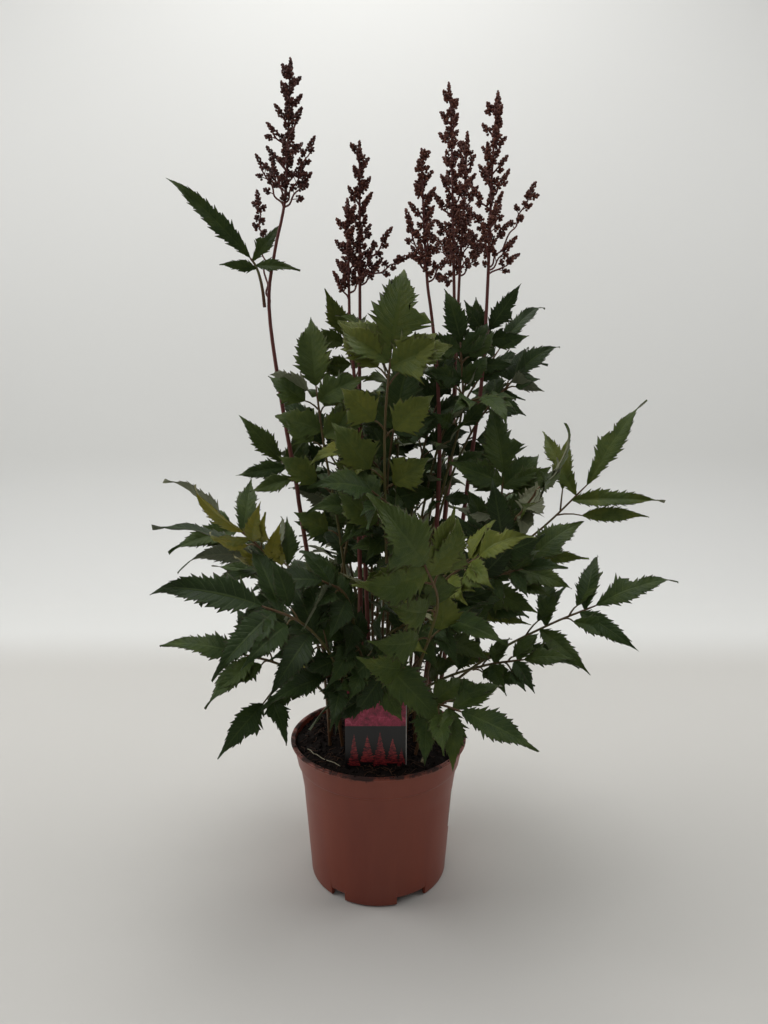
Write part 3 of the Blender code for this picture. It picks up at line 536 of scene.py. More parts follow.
def fillFrond(name, path, blades, twigs, taken):
    hangLeaflets(name, path, blades, twigs)
    hub, tip, width, face, plan, parent = leaves[name]
    if parent:
        return
    chance = random.Random(name + " filling")
    axis = Vector(tip) - Vector(hub)
    length = axis.length
    normal = squareTo(Vector(face), axis)
    for back, angle, ratio in filling["places"]:
        foot = pointBack(path, back * length)
        along = axis.normalized()
        if back * length > filling["ahead"]:
            along = (pointBack(path, back * length - filling["ahead"]) - foot).normalized()
        out = (along + axis.normalized()).normalized()
        angle += chance.uniform(-1, 1) * filling["angleSpread"]
        if foot.z < filling["lowest"]:
            continue
        out = rotated(out, math.radians(angle), normal)
        root = foot + out * filling["twig"] * length * chance.uniform(*filling["twigSpread"])
        size = ratio * chance.uniform(*filling["sizeSpread"])
        bladeWidth = width * (leafBuild["leastWidth"] + (1 - leafBuild["leastWidth"]) * size)
        found = bestLeaflet(name, taken, root, out * size * length, bladeWidth, normal)
        if found[0] < leafBuild["crossing"]:
            taken.add(name, *found[2:])
            blades.append(found[1])
            twigs.append((foot, root))


labelCard = {
    "left": -26.0, "right": 22.5, "top": 183.5, "y": -53.0, "thickness": 0.8, "corner": 3.0, "tongue": 24.0,
    "tongueHalf": 6.0, "shoulder": 2.0,
}


def labelOutline(grow, steps=3):
    left = labelCard["left"] - grow
    right = labelCard["right"] + grow
    middle = (labelCard["left"] + labelCard["right"]) / 2
    half = labelCard["tongueHalf"] + grow
    corner = labelCard["corner"]
    top = labelCard["top"] - corner
    low = soilBed["edgeZ"] - labelCard["tongue"] - grow
    shoulder = soilBed["edgeZ"] - labelCard["shoulder"] - grow
    outline = [(middle - half, low), (middle + half, low), (right, shoulder)]
    for quarter, x in ((0, right - corner), (1, left + corner)):
        for k in range(steps + 1):
            angle = math.pi / 2 * (quarter + k / steps)
            outline.append((x + corner * math.cos(angle), top + corner * math.sin(angle)))
    outline.append((left, shoulder))
    return outline


stems, fronds = layPlant()
print("plant laid out:", len(stems), "flower stems,", len(fronds), "leaves")


# Materials

def linear(hexText):        # an sRGB hex colour as linear red, green and blue
    parts = [int(hexText[k:k + 2], 16) / 255 for k in (1, 3, 5)]
    return tuple(p / 12.92 if p <= 0.04045 else ((p + 0.055) / 1.055) ** 2.4 for p in parts) + (1.0,)


def addNode(tree, kind, settings=None, inputs=None):        # one node: each input is a value or a link
    node = tree.nodes.new(kind)
    for key, value in (settings or {}).items():
        setattr(node, key, value)
    for key, value in (inputs or {}).items():
        if isinstance(value, bpy.types.NodeSocket):
            tree.links.new(value, node.inputs[key])
        else:
            node.inputs[key].default_value = value
    return node


def newMaterial(name):        # an empty material, its nodes and the place on the object
    material = bpy.data.materials.new(name)
    material.use_nodes = True
    tree = material.node_tree
    tree.nodes.clear()
    return material, tree, addNode(tree, "ShaderNodeTexCoord").outputs["Object"]


def maths(tree, operation, *terms, clamp=False):
    settings = {"operation": operation, "use_clamp": clamp}
    return addNode(tree, "ShaderNodeMath", settings, dict(enumerate(terms))).outputs[0]


def noiseOf(tree, vector, scale, detail=2.0, roughness=0.5, distortion=0.0):        # waves in a metre
    return addNode(tree, "ShaderNodeTexNoise", {}, {
        "Vector": vector, "Scale": scale, "Detail": detail, "Roughness": roughness,
        "Distortion": distortion}).outputs["Fac"]


def split(tree, vector):
    return addNode(tree, "ShaderNodeSeparateXYZ", {}, {"Vector": vector}).outputs


def stretched(tree, vector, scale):
    return addNode(tree, "ShaderNodeMapping", {}, {"Vector": vector, "Scale": scale}).outputs["Vector"]


def between(tree, value, start, end, first, last, kind="LINEAR"):        # first at the start, last at the end
    return addNode(tree, "ShaderNodeMapRange", {"interpolation_type": kind}, {
        "Value": value, "From Min": start, "From Max": end, "To Min": first, "To Max": last}).outputs[0]


def mixed(tree, factor, first, second):
    node = addNode(tree, "ShaderNodeMix", {"data_type": "RGBA"}, {"Factor": factor, "A": first, "B": second})
    return node.outputs["Result"]


def tones(tree, factor, stops):        # places and hex colours along a colour ramp
    node = addNode(tree, "ShaderNodeValToRGB", {}, {"Fac": factor})
    elements = node.color_ramp.elements
    while len(elements) < len(stops):
        elements.new(0.5)
    for element, (place, hexText) in zip(elements, stops):
        element.position = place
        element.color = linear(hexText)
    return node.outputs["Color"]


def relief(tree, height, strength, distance):        # distance in metres
    return addNode(tree, "ShaderNodeBump", {}, {
        "Height": height, "Strength": strength, "Distance": distance}).outputs["Normal"]


def surface(tree, inputs):
    shader = addNode(tree, "ShaderNodeBsdfPrincipled", {}, inputs)
    addNode(tree, "ShaderNodeOutputMaterial", {}, {"Surface": shader.outputs["BSDF"]})


leafFinish = {
    "upper": {
        "tints": ((0.0, "#1f2e14"), (0.3, "#2e4119"), (0.55, "#4b5a22"), (0.8, "#6b712a"), (1.0, "#8a842e")),
        "vein": "#5f6e3a", "veinShare": 0.32, "veinRise": -1.0, "roughness": 0.38},
    "underside": {
        "tints": ((0.0, "#5a6350"), (0.5, "#70745a"), (1.0, "#8d8a66")),
        "vein": "#9a9a7c", "veinShare": 0.4, "veinRise": 1.0, "roughness": 0.54},
    "edge": "#3d2a1c", "sideVein": 0.07, "midVein": (0.01, 0.045), "netSpacing": 1.1,
}


def leafBladeMaterial(name, side):        # leaf cuticle: thin wax over green tissue, matt with a soft sheen
    material, tree, place = newMaterial(name)
    look = leafFinish[side]
    tint = addNode(tree, "ShaderNodeAttribute", {"attribute_name": "tint"}).outputs["Fac"]
    blade = split(tree, addNode(tree, "ShaderNodeUVMap", {"uv_map": "blade"}).outputs["UV"])
    mottle = noiseOf(tree, place, 220.0, 4.0, 0.6)
    blotch = noiseOf(tree, place, 38.0)
    uneven = maths(tree, "ADD", maths(tree, "MULTIPLY_ADD", mottle, 0.34, -0.17),
                   maths(tree, "MULTIPLY_ADD", blotch, 0.5, -0.25))
    colour = tones(tree, maths(tree, "ADD", tint, uneven, clamp=True), look["tints"])
    # a side vein runs into each tooth, where the second UV passes a whole number
    fromSide = maths(tree, "ABSOLUTE", maths(tree, "SUBTRACT", maths(tree, "FRACT", blade["Y"]), 0.5))
    sideVein = between(tree, fromSide, 0.0, leafFinish["sideVein"], 1.0, 0.0, "SMOOTHSTEP")
    fromRib = maths(tree, "ABSOLUTE", maths(tree, "SUBTRACT", blade["X"], 0.5))
    midVein = between(tree, fromRib, *leafFinish["midVein"], 1.0, 0.0, "SMOOTHSTEP")
    net = addNode(tree, "ShaderNodeTexVoronoi", {"feature": "DISTANCE_TO_EDGE"}, {
        "Vector": place, "Scale": 1 / (leafFinish["netSpacing"] * mm)}).outputs["Distance"]
    netLine = between(tree, net, 0.0, 0.09, 0.45, 0.0)
    veins = maths(tree, "MAXIMUM", maths(tree, "MAXIMUM", sideVein, midVein), netLine)
    veined = mixed(tree, maths(tree, "MULTIPLY", veins, look["veinShare"]), colour, linear(look["vein"]))
    # the teeth of this plant's leaflets are tipped with red brown
    tipped = mixed(tree, between(tree, fromRib, 0.47, 0.5, 0.0, 0.75), veined, linear(leafFinish["edge"]))
    surface(tree, {
        "Base Color": tipped, "Roughness": maths(tree, "MULTIPLY_ADD", mottle, 0.16, look["roughness"]),
        "IOR": 1.42, "Specular IOR Level": 0.3,
        "Normal": relief(tree, maths(tree, "MULTIPLY", veins, look["veinRise"]), 0.55, 0.0004)})
    return material


def stalkMaterial(name, stops, roughness):        # herbaceous stem: smooth ribbed skin with red streaks
    material, tree, place = newMaterial(name)
    tint = addNode(tree, "ShaderNodeAttribute", {"attribute_name": "tint"}).outputs["Fac"]
    streak = noiseOf(tree, stretched(tree, place, (1.0, 1.0, 0.12)), 900.0, 3.0)
    age = maths(tree, "ADD", tint, maths(tree, "MULTIPLY_ADD", streak, 0.5, -0.25), clamp=True)
    surface(tree, {"Base Color": tones(tree, age, stops), "IOR": 1.4, "Roughness": roughness,
                   "Normal": relief(tree, streak, 0.3, 0.0002)})
    return material


leafUpper = leafBladeMaterial("astilbe leaf, upper face", "upper")
leafUnder = leafBladeMaterial("astilbe leaf, underside", "underside")
leafStalk = stalkMaterial("leaf stalk", ((0.0, "#5a6632"), (0.45, "#5c4a2c"), (1.0, "#5e2a24")), 0.45)
flowerStalk = stalkMaterial("flower stem", ((0.0, "#6b5a3a"), (0.4, "#74403a"), (1.0, "#542a27")), 0.5)
# the buds' palest colours are reached mostly where their tips carry the painted highlight
budSkin = stalkMaterial("flower buds", ((0.0, "#331a16"), (0.5, "#5e3228"), (1.0, "#8a5540")), 0.6)
print("plant materials made")


# Meshes, which are gathered in one shape for each piece

def circle(radius, z, sides, x=0.0, y=0.0):        # points round a circle that lies level
    turns = [fullTurn * k / sides for k in range(sides)]
    return [(x + radius * math.cos(turn), y + radius * math.sin(turn), z) for turn in turns]


def linkMesh(name, verts, faces, materials, unit=mm):        # a smooth mesh object
    mesh = bpy.data.meshes.new(name)
    mesh.from_pydata((np.array([tuple(v) for v in verts]) * unit).tolist(), [], faces)
    for material in materials:
        mesh.materials.append(material)
    mesh.shade_smooth()
    obj = bpy.data.objects.new(name, mesh)
    bpy.context.scene.collection.objects.link(obj)
    return obj


def stand(obj, node):        # the piece takes the place of one of the frame's nodes
    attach(obj, "root")
    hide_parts(node)


class Shape:
    def __init__(self):
        self.verts = []
        self.faces = []
        self.kinds = []
        self.uvs = []
        self.tints = []
        self.count = 0

    def add(self, verts, faces, kind, tint, uvs=None):
        verts = np.asarray(verts, float)
        self.verts.append(verts)
        self.faces += [tuple(v + self.count for v in face) for face in faces]
        self.kinds += [kind] * len(faces) if isinstance(kind, int) else list(kind)
        self.tints.append(np.broadcast_to(np.asarray(tint, float), (len(verts),)))
        self.uvs.append(np.zeros((len(verts), 2)) if uvs is None else np.asarray(uvs, float))
        self.count += len(verts)

    def build(self, name, materials, node):
        obj = linkMesh(name, np.concatenate(self.verts), self.faces, materials)
        mesh = obj.data
        mesh.polygons.foreach_set("material_index", self.kinds)
        tints = mesh.attributes.new("tint", "FLOAT", "POINT")
        tints.data.foreach_set("value", np.concatenate(self.tints))
        layer = mesh.uv_layers.new(name="blade")
        corners = np.zeros(len(mesh.loops), int)
        mesh.loops.foreach_get("vertex_index", corners)
        layer.data.foreach_set("uv", np.concatenate(self.uvs)[corners].ravel())
        stand(obj, node)


def twoSided(rows, columns):        # the faces of a thin sheet: its top and underside, then its rim
    size = rows * columns
    faces = []
    kinds = []
    for r in range(rows - 1):
        for k in range(columns - 1):
            low = r * columns + k
            high = low + columns
            faces.append((low, low + 1, high + 1, high))
            faces.append((size + low, size + high, size + high + 1, size + low + 1))
            kinds += [0, 1]
    for r in range(rows - 1):
        for low, way in ((r * columns, 1), ((r + 1) * columns - 1, -1)):
            faces.append((low, low + columns, size + low + columns, size + low)[::way])
    for k in range(columns - 1):
        for low, way in ((k, 1), (size - columns + k, -1)):
            faces.append((low, size + low, size + low + 1, low + 1)[::way])
    kinds += [0] * (len(faces) - len(kinds))
    return faces, kinds


# Leaflets with teeth, veins and a wavy edge

bladeDetail = {
    "toothPitch": 5.0, "fewestTeeth": 5, "mostTeeth": 12, "toothDepth": 0.26, "toothLean": 0.5,
    "thickness": 0.36, "pucker": 0.45, "wave": 0.035, "ribDepth": 0.4, "tipDroop": 0.3, "twist": 32.0,
    "roll": 14.0, "fold": 0.2, "turnedOver": 0.09, "turnedRoll": (70, 115), "waist": 0.08, "acumen": 0.5, "slant": 0.75,
    "leastHalf": 0.26,
    "lobed": 0.35, "lobe": 0.34, "lobePlace": (0.28, 0.4), "columns": (0.0, 0.09, 0.5, 0.84, 1.0),
    # along a tooth: where each row lies, and how far the edge stands out there
    "tooth": ((0.0, -0.9), (0.3, 0.2), (0.45, -0.4), (0.82, 1.0)),
    "smallTooth": ((0.0, -0.9), (0.45, 0.3), (0.82, 1.0)), "smallLength": 26.0,
}


def swelling(values, middle, width):
    return np.exp(-((values - middle) / width) ** 2)


def bladeGrid(length):        # rows by columns: the row's place in teeth, the column, and the tooth's reach
    teeth = max(round(length / bladeDetail["toothPitch"]), bladeDetail["fewestTeeth"])
    teeth = min(teeth, bladeDetail["mostTeeth"])
    tooth = bladeDetail["smallTooth"] if length < bladeDetail["smallLength"] else bladeDetail["tooth"]
    rows = np.array([k + place for k in range(teeth) for place, out in tooth] + [teeth - 0.02])
    outs = np.array([out for k in range(teeth) for place, out in tooth] + [0.0])
    half = bladeDetail["columns"]
    across = np.array([-c for c in reversed(half[1:])] + list(half))
    v, c = np.meshgrid(rows, across, indexing="ij")
    return teeth, v, c, np.repeat(outs[:, None], len(across), 1)


def bladeHalf(leaflet, along, c, chance):        # half the blade's width along it, before its teeth
    crest = leafBuild["widest"]
    half = leaflet.width / 2 * np.where(
        along < crest, (np.maximum(along, 1e-4) / crest) ** leafBuild["shoulder"],
        (np.maximum(1 - along, 0) / (1 - crest)) ** leafBuild["taper"])
    half *= 1 - bladeDetail["acumen"] * np.clip((along - 0.62) / 0.24, 0, 1) ** 1.5
    waist = fullTurn * chance.uniform(1.6, 2.6) * along
    half *= 1 + bladeDetail["waist"] * np.sin(waist + chance.uniform(0, fullTurn))
    if leaflet.length > bladeDetail["smallLength"] and chance.random() < bladeDetail["lobed"]:
        side = chance.choice((-1, 1))
        place = chance.uniform(*bladeDetail["lobePlace"])
        lobe = swelling(along, place, 0.08) - swelling(along, place + 0.15, 0.05)
        half = np.where(c * side > 0, half * (1 + bladeDetail["lobe"] * lobe), half)
    return half


def dressBlade(shape, leaflet, tint, chance):
    length = leaflet.length
    teeth, v, c, out = bladeGrid(length)
    reach = np.abs(c)
    part = v / teeth
    uneven = np.array([chance.uniform(0.65, 1.25) for k in range(2 * teeth + 2)])
    index = np.minimum(v.astype(int), teeth - 1) + np.where(c < 0, teeth, 0)
    rim = np.clip((reach - 0.8) / 0.2, 0, 1)
    slant = bladeDetail["slant"] * leaflet.width / 2 / length
    along = part + slant * reach * np.minimum(1, 4.4 * part * (1 - part))
    along += bladeDetail["toothLean"] / teeth * rim * (out > 0.1) * out * (part < 0.95)
    along = np.clip(along, 0, 1)
    half = bladeHalf(leaflet, along, c, chance)
    depth = bladeDetail["toothDepth"] * uneven[index] * np.minimum(1, 7 * (1 - along))
    half = np.maximum(half, bladeDetail["leastHalf"]) * (1 + rim * depth * out)
    side = c * half
    roll = chance.uniform(-1, 1) * bladeDetail["roll"]
    if chance.random() < bladeDetail["turnedOver"]:
        roll = chance.choice((-1, 1)) * chance.uniform(*bladeDetail["turnedRoll"])
    twist = np.radians(chance.uniform(-1, 1) * bladeDetail["twist"]) * along ** 2
    twist = twist + math.radians(roll) * np.minimum(1, along * 4)
    phase = chance.uniform(0, fullTurn)
    waves = chance.uniform(1.5, 2.6)
    lift = np.abs(side) * (leafBuild["fold"] + bladeDetail["fold"] * chance.uniform(-0.3, 1))
    ripple = np.sin(fullTurn * waves * along + phase + np.sign(c))
    lift += bladeDetail["wave"] * length * reach ** 2 * ripple * part
    lift += bladeDetail["pucker"] * (0.5 - (out > 0.5)) * 4 * reach * (1 - reach) * np.minimum(1, half / 5)
    droop = bladeDetail["tipDroop"] * length * np.maximum(0, along - 0.72) ** 2 * 4 * chance.uniform(0.0, 1.3)
    droop += chance.uniform(-0.05, 0.16) * length * along ** 2
    flat = side * np.cos(twist) - lift * np.sin(twist)
    lift = side * np.sin(twist) + lift * np.cos(twist) - droop
    # the blade's own arch, from base to tip
    bend = leafBuild["curl"] / 2
    angle = bend - leafBuild["curl"] * along
    scale = length / (2 * math.sin(bend))
    ahead = scale * (math.sin(bend) - np.sin(angle))
    rise = scale * (np.cos(angle) - math.cos(bend))
    forward, upward, sideways = [np.array(axis) for axis in (leaflet.along, leaflet.normal, leaflet.side)]
    normal = upward * np.cos(angle)[..., None] - forward * np.sin(angle)[..., None]
    middle = (np.array(leaflet.base) + forward * ahead[..., None] + upward * rise[..., None]
              + sideways * flat[..., None] + normal * lift[..., None])
    facing = normal * np.cos(twist)[..., None] - sideways * np.sin(twist)[..., None]
    thick = bladeDetail["thickness"] / 2 * (1 - 0.45 * rim)
    spine = (reach < 0.03) * (1 - 0.8 * part)
    top = middle + facing * (thick - 0.14 * spine)[..., None]
    under = middle - facing * (thick + bladeDetail["ribDepth"] * spine)[..., None]
    uvs = np.stack([0.5 + 0.5 * c, v - 0.32], -1).reshape(-1, 2)
    faces, kinds = twoSided(*v.shape)
    shape.add(np.concatenate([top.reshape(-1, 3), under.reshape(-1, 3)]), faces, kinds, tint,
              np.concatenate([uvs, uvs]))


def dressStalk(shape, path, radii, sides, kind, tints):
    verts, faces = tube(path, radii, sides)
    shape.add(verts, faces, kind, np.repeat(tints, sides))


def spike(shape, root, heading, length, radius, kind, tint):        # one stiff hair
    side = heading.orthogonal().normalized() * radius
    other = heading.cross(side)
    verts = [root + side, root - 0.5 * side + 0.87 * other, root - 0.5 * side - 0.87 * other,
             root + heading * length]
    shape.add(verts, [(0, 2, 1), (0, 1, 3), (1, 2, 3), (2, 0, 3)], kind, tint)


def randomHeading(chance):
    z = chance.uniform(-1, 1)
    turn = chance.uniform(0, fullTurn)
    flat = math.sqrt(1 - z * z)
    return Vector((flat * math.cos(turn), flat * math.sin(turn), z))


leafTints = {
    "leaf_left_young": 0.95, "leaf_front_big": 0.56, "leaf_olive_left": 0.52, "leaf_olive_centre": 0.66,
    "leaf_top_left": 0.6, "leaf_stem_high": 0.42, "leaf_stem_low": 0.4, "leaf_far_right_high": 0.6,
    "leaf_right_pale": 0.5, "leaf_right_upright": 0.38, "leaf_mid_small": 0.72, "leaf_front_pale": 0.7,
    "leaf_top_centre": 0.5, "leaf_right_mid": 0.42, "leaf_far_right": 0.36, "leaf_low_right": 0.4,
}
stalkDetail = {"sides": 8, "hairs": 4, "hairLength": 1.7, "hairR": 0.09, "twigSides": 6, "bow": 1.5}


def dressFrond(name):
    path, blades, twigs = fronds[name]
    chance = random.Random(name)
    shape = Shape()
    smooth = spline(path, 5)
    last = len(smooth) - 1
    radii = [leafBuild["stalkR"] * (1.1 - 0.45 * k / last) for k in range(last + 1)]
    radii[-1] *= 0.7
    tints = [0.25 + 0.6 * abs(1 - 1.6 * k / last) for k in range(last + 1)]
    dressStalk(shape, smooth, radii, stalkDetail["sides"], 2, tints)
    for foot, tip in twigs:
        bow = [foot.lerp(tip, t) + Vector((0, 0, stalkDetail["bow"] * math.sin(math.pi * t)))
               for t in (0, 0.33, 0.67, 1)]
        dressStalk(shape, bow, [0.85, 0.76, 0.68, 0.6], stalkDetail["twigSides"], 2, [0.6, 0.5, 0.4, 0.4])
    tint = leafTints.get(name, chance.uniform(0.12, 0.4))
    for leaflet in blades:
        dressBlade(shape, leaflet, tint + chance.uniform(-0.09, 0.09), chance)
        knob = leaflet.base + leaflet.along * 0.6
        for k in range(stalkDetail["hairs"]):
            heading = (randomHeading(chance) - leaflet.along * 0.4).normalized()
            length = stalkDetail["hairLength"] * chance.uniform(0.5, 1)
            spike(shape, knob, heading, length, stalkDetail["hairR"], 2, 0.8)
    shape.build(name.replace("leaf", "frond"), [leafUpper, leafUnder, leafStalk], name)


for name in fronds:
    dressFrond(name)
print("leaves dressed")


# Flower stems: side branches with clusters of closed buds

budDetail = {
    "radius": 1.16, "stretch": 1.12, "sides": 5,
    "rings": ((-0.95, 0.0), (-0.45, 0.86), (0.5, 0.82), (1.05, 0.0)),
    # tipPaintedHighlight: how much lighter each bud is painted towards its tip, a painted highlight
    "tipPaintedHighlight": 0.3, "perLength": 1.6, "fewest": 7, "core": (0.42, 0.3), "bulge": 0.37, "point": (0.85, 2.4),
    "spurStep": 4.3, "axisStep": 5.2, "headLength": (4.4, 6.6), "headWidth": (5.0, 6.4),
    "endWidth": (5.0, 6.0), "endLength": 13.0, "topLength": 15.0, "topWidth": 5.0, "stemSwell": 0.25,
    "betweenReach": (0.75, 1.0),
    "branchR": (0.85, 0.4), "spurR": (0.5, 0.42, 0.36), "stemSides": 10, "branchSides": 6, "spurSides": 4,
}
plumeTints = {
    "flower_left": 0.0, "flower_centre": 0.08, "flower_centre_low": 0.1, "flower_right_inner": 0.16,
    "flower_right_tall": 0.2, "flower_right_outer": 0.2, "flower_right_back": 0.16,
}


def budForm():
    low, *middle, high = budDetail["rings"]
    sides = budDetail["sides"]
    verts = [(0, 0, low[0])]
    for height, radius in middle:
        verts += circle(radius, height, sides)
    verts.append((0, 0, high[0]))
    faces = []
    for k in range(sides):
        after = (k + 1) % sides
        faces.append((0, 1 + after, 1 + k))
        for start in range(1, 1 + (len(middle) - 1) * sides, sides):
            faces.append((start + k, start + after, start + sides + after, start + sides + k))
        start = 1 + (len(middle) - 1) * sides
        faces.append((start + k, start + after, len(verts) - 1))
    return np.array(verts, float), faces


budVerts, budFaces = budForm()


def dressBud(shape, place, heading, size, tint):
    side = heading.orthogonal().normalized()
    basis = np.array([side, heading.cross(side), heading * budDetail["stretch"]])
    # each bud is painted lighter towards its outward tip: a painted highlight
    shape.add(np.array(place) + budVerts * size @ basis, budFaces, 1,
              tint + budDetail["tipPaintedHighlight"] * np.clip(budVerts[:, 2], 0, 1))


def dressHead(shape, foot, tip, width, chance, bright):        # a pointed head of closed buds round a core
    axis = tip - foot
    heading = axis.normalized()
    side = heading.orthogonal().normalized()
    count = max(budDetail["fewest"], round(axis.length * budDetail["perLength"] * width / 5))
    corePlace, coreShare = budDetail["core"]
    dressBud(shape, foot.lerp(tip, corePlace), heading, width * coreShare, 0.1)
    start = chance.uniform(0, fullTurn)
    narrowing, power = budDetail["point"]
    for k in range(count):
        part = (k + 0.4) / count
        out = rotated(side, start + k * goldenAngle, heading)
        bulge = width * budDetail["bulge"] * (1 - narrowing * part ** power)
        place = foot.lerp(tip, part) + out * bulge * chance.uniform(0.8, 1.1)
        size = budDetail["radius"] * (1.08 - 0.2 * part) * chance.uniform(0.85, 1.12)
        dressBud(shape, place, (out * (1.1 - part) + heading * (0.5 + part)).normalized(), size,
                 chance.uniform(0.0, 0.45) + bright)


def dressSpur(shape, foot, out, stalk, chance, bright):        # a short stalk with a head on its end
    base = foot + out * stalk
    dressStalk(shape, [foot, foot.lerp(base, 0.5), base + out], budDetail["spurR"], budDetail["spurSides"], 0,
               [0.6, 0.6, 0.6])
    dressHead(shape, base, base + out * chance.uniform(*budDetail["headLength"]),
              chance.uniform(*budDetail["headWidth"]), chance, bright)


def dressBranch(shape, root, middles, tip, chance, bright):
    line = spline([root] + middles + [tip], 3)
    last = len(line) - 1
    thick, thinner = budDetail["branchR"]
    radii = [thick - thinner * k / last for k in range(last + 1)]
    dressStalk(shape, line, radii, budDetail["branchSides"], 0, [0.6] * (last + 1))
    run = tip - root
    heading = run.normalized()
    side = heading.orthogonal().normalized()
    end = min(budDetail["endLength"], 0.45 * run.length + 3.5)
    width = chance.uniform(*budDetail["endWidth"])
    dressHead(shape, tip - heading * (end - 2), tip + heading * 2, width, chance, bright)
    # a long branch is bare at its foot
    place = 0.22 * run.length if run.length < 60 else run.length - 42
    turn = chance.uniform(0, fullTurn)
    while place < run.length - end + 1:
        out = rotated(side, turn, heading)
        out = (out * 0.85 + heading * 0.6 + Vector((0, 0, 0.25))).normalized()
        left = 1 - place / run.length
        stalk = chance.uniform(0.6, 2.2) + 4.5 * left * min(1, run.length / 45)
        dressSpur(shape, pointBack(line, left * run.length), out, stalk, chance, bright)
        place += budDetail["spurStep"] * chance.uniform(0.85, 1.15)
        turn += goldenAngle


def dressBetween(shape, name, path, chance, bright):        # branches between the frame's own, then heads
    height = path[-1].z
    plumeFoot, longest = flowerStems[name][1:3]
    shortest = flowerBuild["branchShortest"]
    rise = math.radians(flowerBuild["branchRise"])
    z = plumeFoot + flowerBuild["branchStep"] / 2
    turn = 0.5
    while z < height - 14:
        part = (z - plumeFoot) / (height - plumeFoot)
        reach = (longest + (shortest - longest) * part) * chance.uniform(*budDetail["betweenReach"])
        out = around(turn * goldenAngle + math.pi, rise)
        root = atHeight(path, z)
        dressBranch(shape, root, [root + out * reach * 0.5], root + out * reach, chance, bright)
        z += flowerBuild["branchStep"]
        turn += 1
    z = plumeFoot + 3
    while z < height - 10:
        azimuth = chance.uniform(0, fullTurn)
        out = Vector((math.cos(azimuth), math.sin(azimuth), 0.9)).normalized()
        dressSpur(shape, atHeight(path, z), out, chance.uniform(1.0, 2.5), chance, bright)
        z += budDetail["axisStep"] * chance.uniform(0.8, 1.2)


def dressFlower(name):
    path, branches = stems[name]
    chance = random.Random(name)
    bright = plumeTints[name]
    shape = Shape()
    smooth = spline(path, 5)
    base = flowerBuild["taperFrom"]
    taper = flowerBuild["stemR"] + budDetail["stemSwell"] - flowerBuild["tipR"]
    parts = [max(0.0, point.z - base) / (path[-1].z - base) for point in smooth]
    dressStalk(shape, smooth, [flowerBuild["tipR"] + taper * (1 - part ** 2) for part in parts],
               budDetail["stemSides"], 0, [0.3 + 0.4 * part for part in parts])
    for root, tip, middles in branches:
        dressBranch(shape, root, [middle for middle, size in middles], tip, chance, bright)
    dressBetween(shape, name, path, chance, bright)
    foot = path[-1] - Vector((0, 0, budDetail["topLength"]))
    dressHead(shape, foot, path[-1] + Vector((0, 0, 1)), budDetail["topWidth"], chance, bright)
    shape.build(name + "_plume", [flowerStalk, budSkin], name)


for name in stems:
    dressFlower(name)
print("flower stems dressed")


# The pot: moulded polypropylene, with a rolled lip, a collar and notches in its foot

potDetail = {
    "columns": 240, "wall": 1.5, "lipR": 75.5, "height": 116.0, "footR": 58.2, "plateLow": 7.0, "plate": 1.8,
    "padR": 11.0, "notchHeight": 6.0, "notchFade": 10.0, "drainR": 5.0, "drainSides": 24, "drainRingR": 32.0,
    "drains": 6, "notches": ((-34, 13), (28, 26), (86, 13), (148, 26), (206, 13), (268, 26)),
    "outside": ((58.2, 1.5), (64.6, 76.0), (67.8, 94.6), (69.4, 96.0), (73.2, 113.4)), "sharp": 40,
}
potFloor = potDetail["plateLow"] + potDetail["plate"]


def potOutside(z):
    rise = potDetail["outside"]
    for (lowR, lowZ), (highR, highZ) in zip(rise, rise[1:]):
        if z <= highZ:
            return lowR + (highR - lowR) * (z - lowZ) / (highZ - lowZ)
    return rise[-1][0]


def arc(middleR, middleZ, radius, start, end, steps):        # points on a round in the lathe's outline
    angles = [math.radians(start + (end - start) * k / steps) for k in range(steps + 1)]
    return [(middleR + radius * math.cos(angle), middleZ + radius * math.sin(angle)) for angle in angles]


def potOutline():        # radius and height, from the middle of the floor over the lip to the underside
    top = potDetail["height"]
    lipR = potDetail["lipR"]
    wall = potDetail["wall"]
    foot = potDetail["footR"]
    padR = potDetail["padR"]
    low = potDetail["plateLow"]
    under = [(10.2, 0.0), (padR, 0.8), (padR + 0.2, low - 0.6), (12.4, low), (30.0, low)]
    under += [(foot - 3.6, low), (foot - 3.0, 6.0), (foot - 3.1, 1.0)]
    outline = [(foot - 2.6, 0.0)] + arc(foot - 1.5, 1.5, 1.5, -80, -5, 4)
    outline += [(potOutside(z), z) for z in (5, 8, 14, 24, 36, 48, 60, 70, 75, 77, 82, 88, 92.5, 94.2)]
    outline += [(67.95, 95.0), (68.7, 95.5), (69.3, 96.1), (69.7, 97.2)]
    outline += [(potOutside(z), z) for z in (99, 104, 109, 112)]
    outline += [(73.3, 113.0)] + arc(lipR - 1.25, top - 1.25, 1.25, -75, 90, 8)
    outline += arc(potOutside(top) - wall + 1.0, top - 1.0, 1.0, 95, 180, 5)
    inside = (112, 108, 100, 96.5, 94.2, 86, 76, 50, 25, potFloor + 1.2)
    outline += [(potOutside(z) - wall, z) for z in inside]
    outline += [(potOutside(potFloor) - wall - 1.0, potFloor), (potDetail["drainRingR"] + 9, potFloor)]
    outline += [(potDetail["drainRingR"] - 9, potFloor), (14.0, potFloor)]
    return (under + outline)[::-1]


def potAngles():        # even columns, with a close pair at each side of each notch
    edges = []
    for middle, width in potDetail["notches"]:
        for side in (-1, 1):
            edge = (middle + side * width / 2) % 360
            edges += [edge - 0.12, edge + 0.12]
    angles = [360 * k / potDetail["columns"] for k in range(potDetail["columns"])]
    angles = [angle for angle in angles if all(abs(angle - edge) > 0.4 for edge in edges)]
    return sorted(angles + edges)


def notched(radius, z, angle):        # in a notch, the foot is drawn up
    inNotch = any(abs((angle - middle + 180) % 360 - 180) < width / 2
                  for middle, width in potDetail["notches"])
    fade = potDetail["notchFade"]
    if inNotch and z < fade and radius > potDetail["footR"] - 3.5:
        return radius, potDetail["notchHeight"] + z * (fade - potDetail["notchHeight"]) / fade
    return radius, z


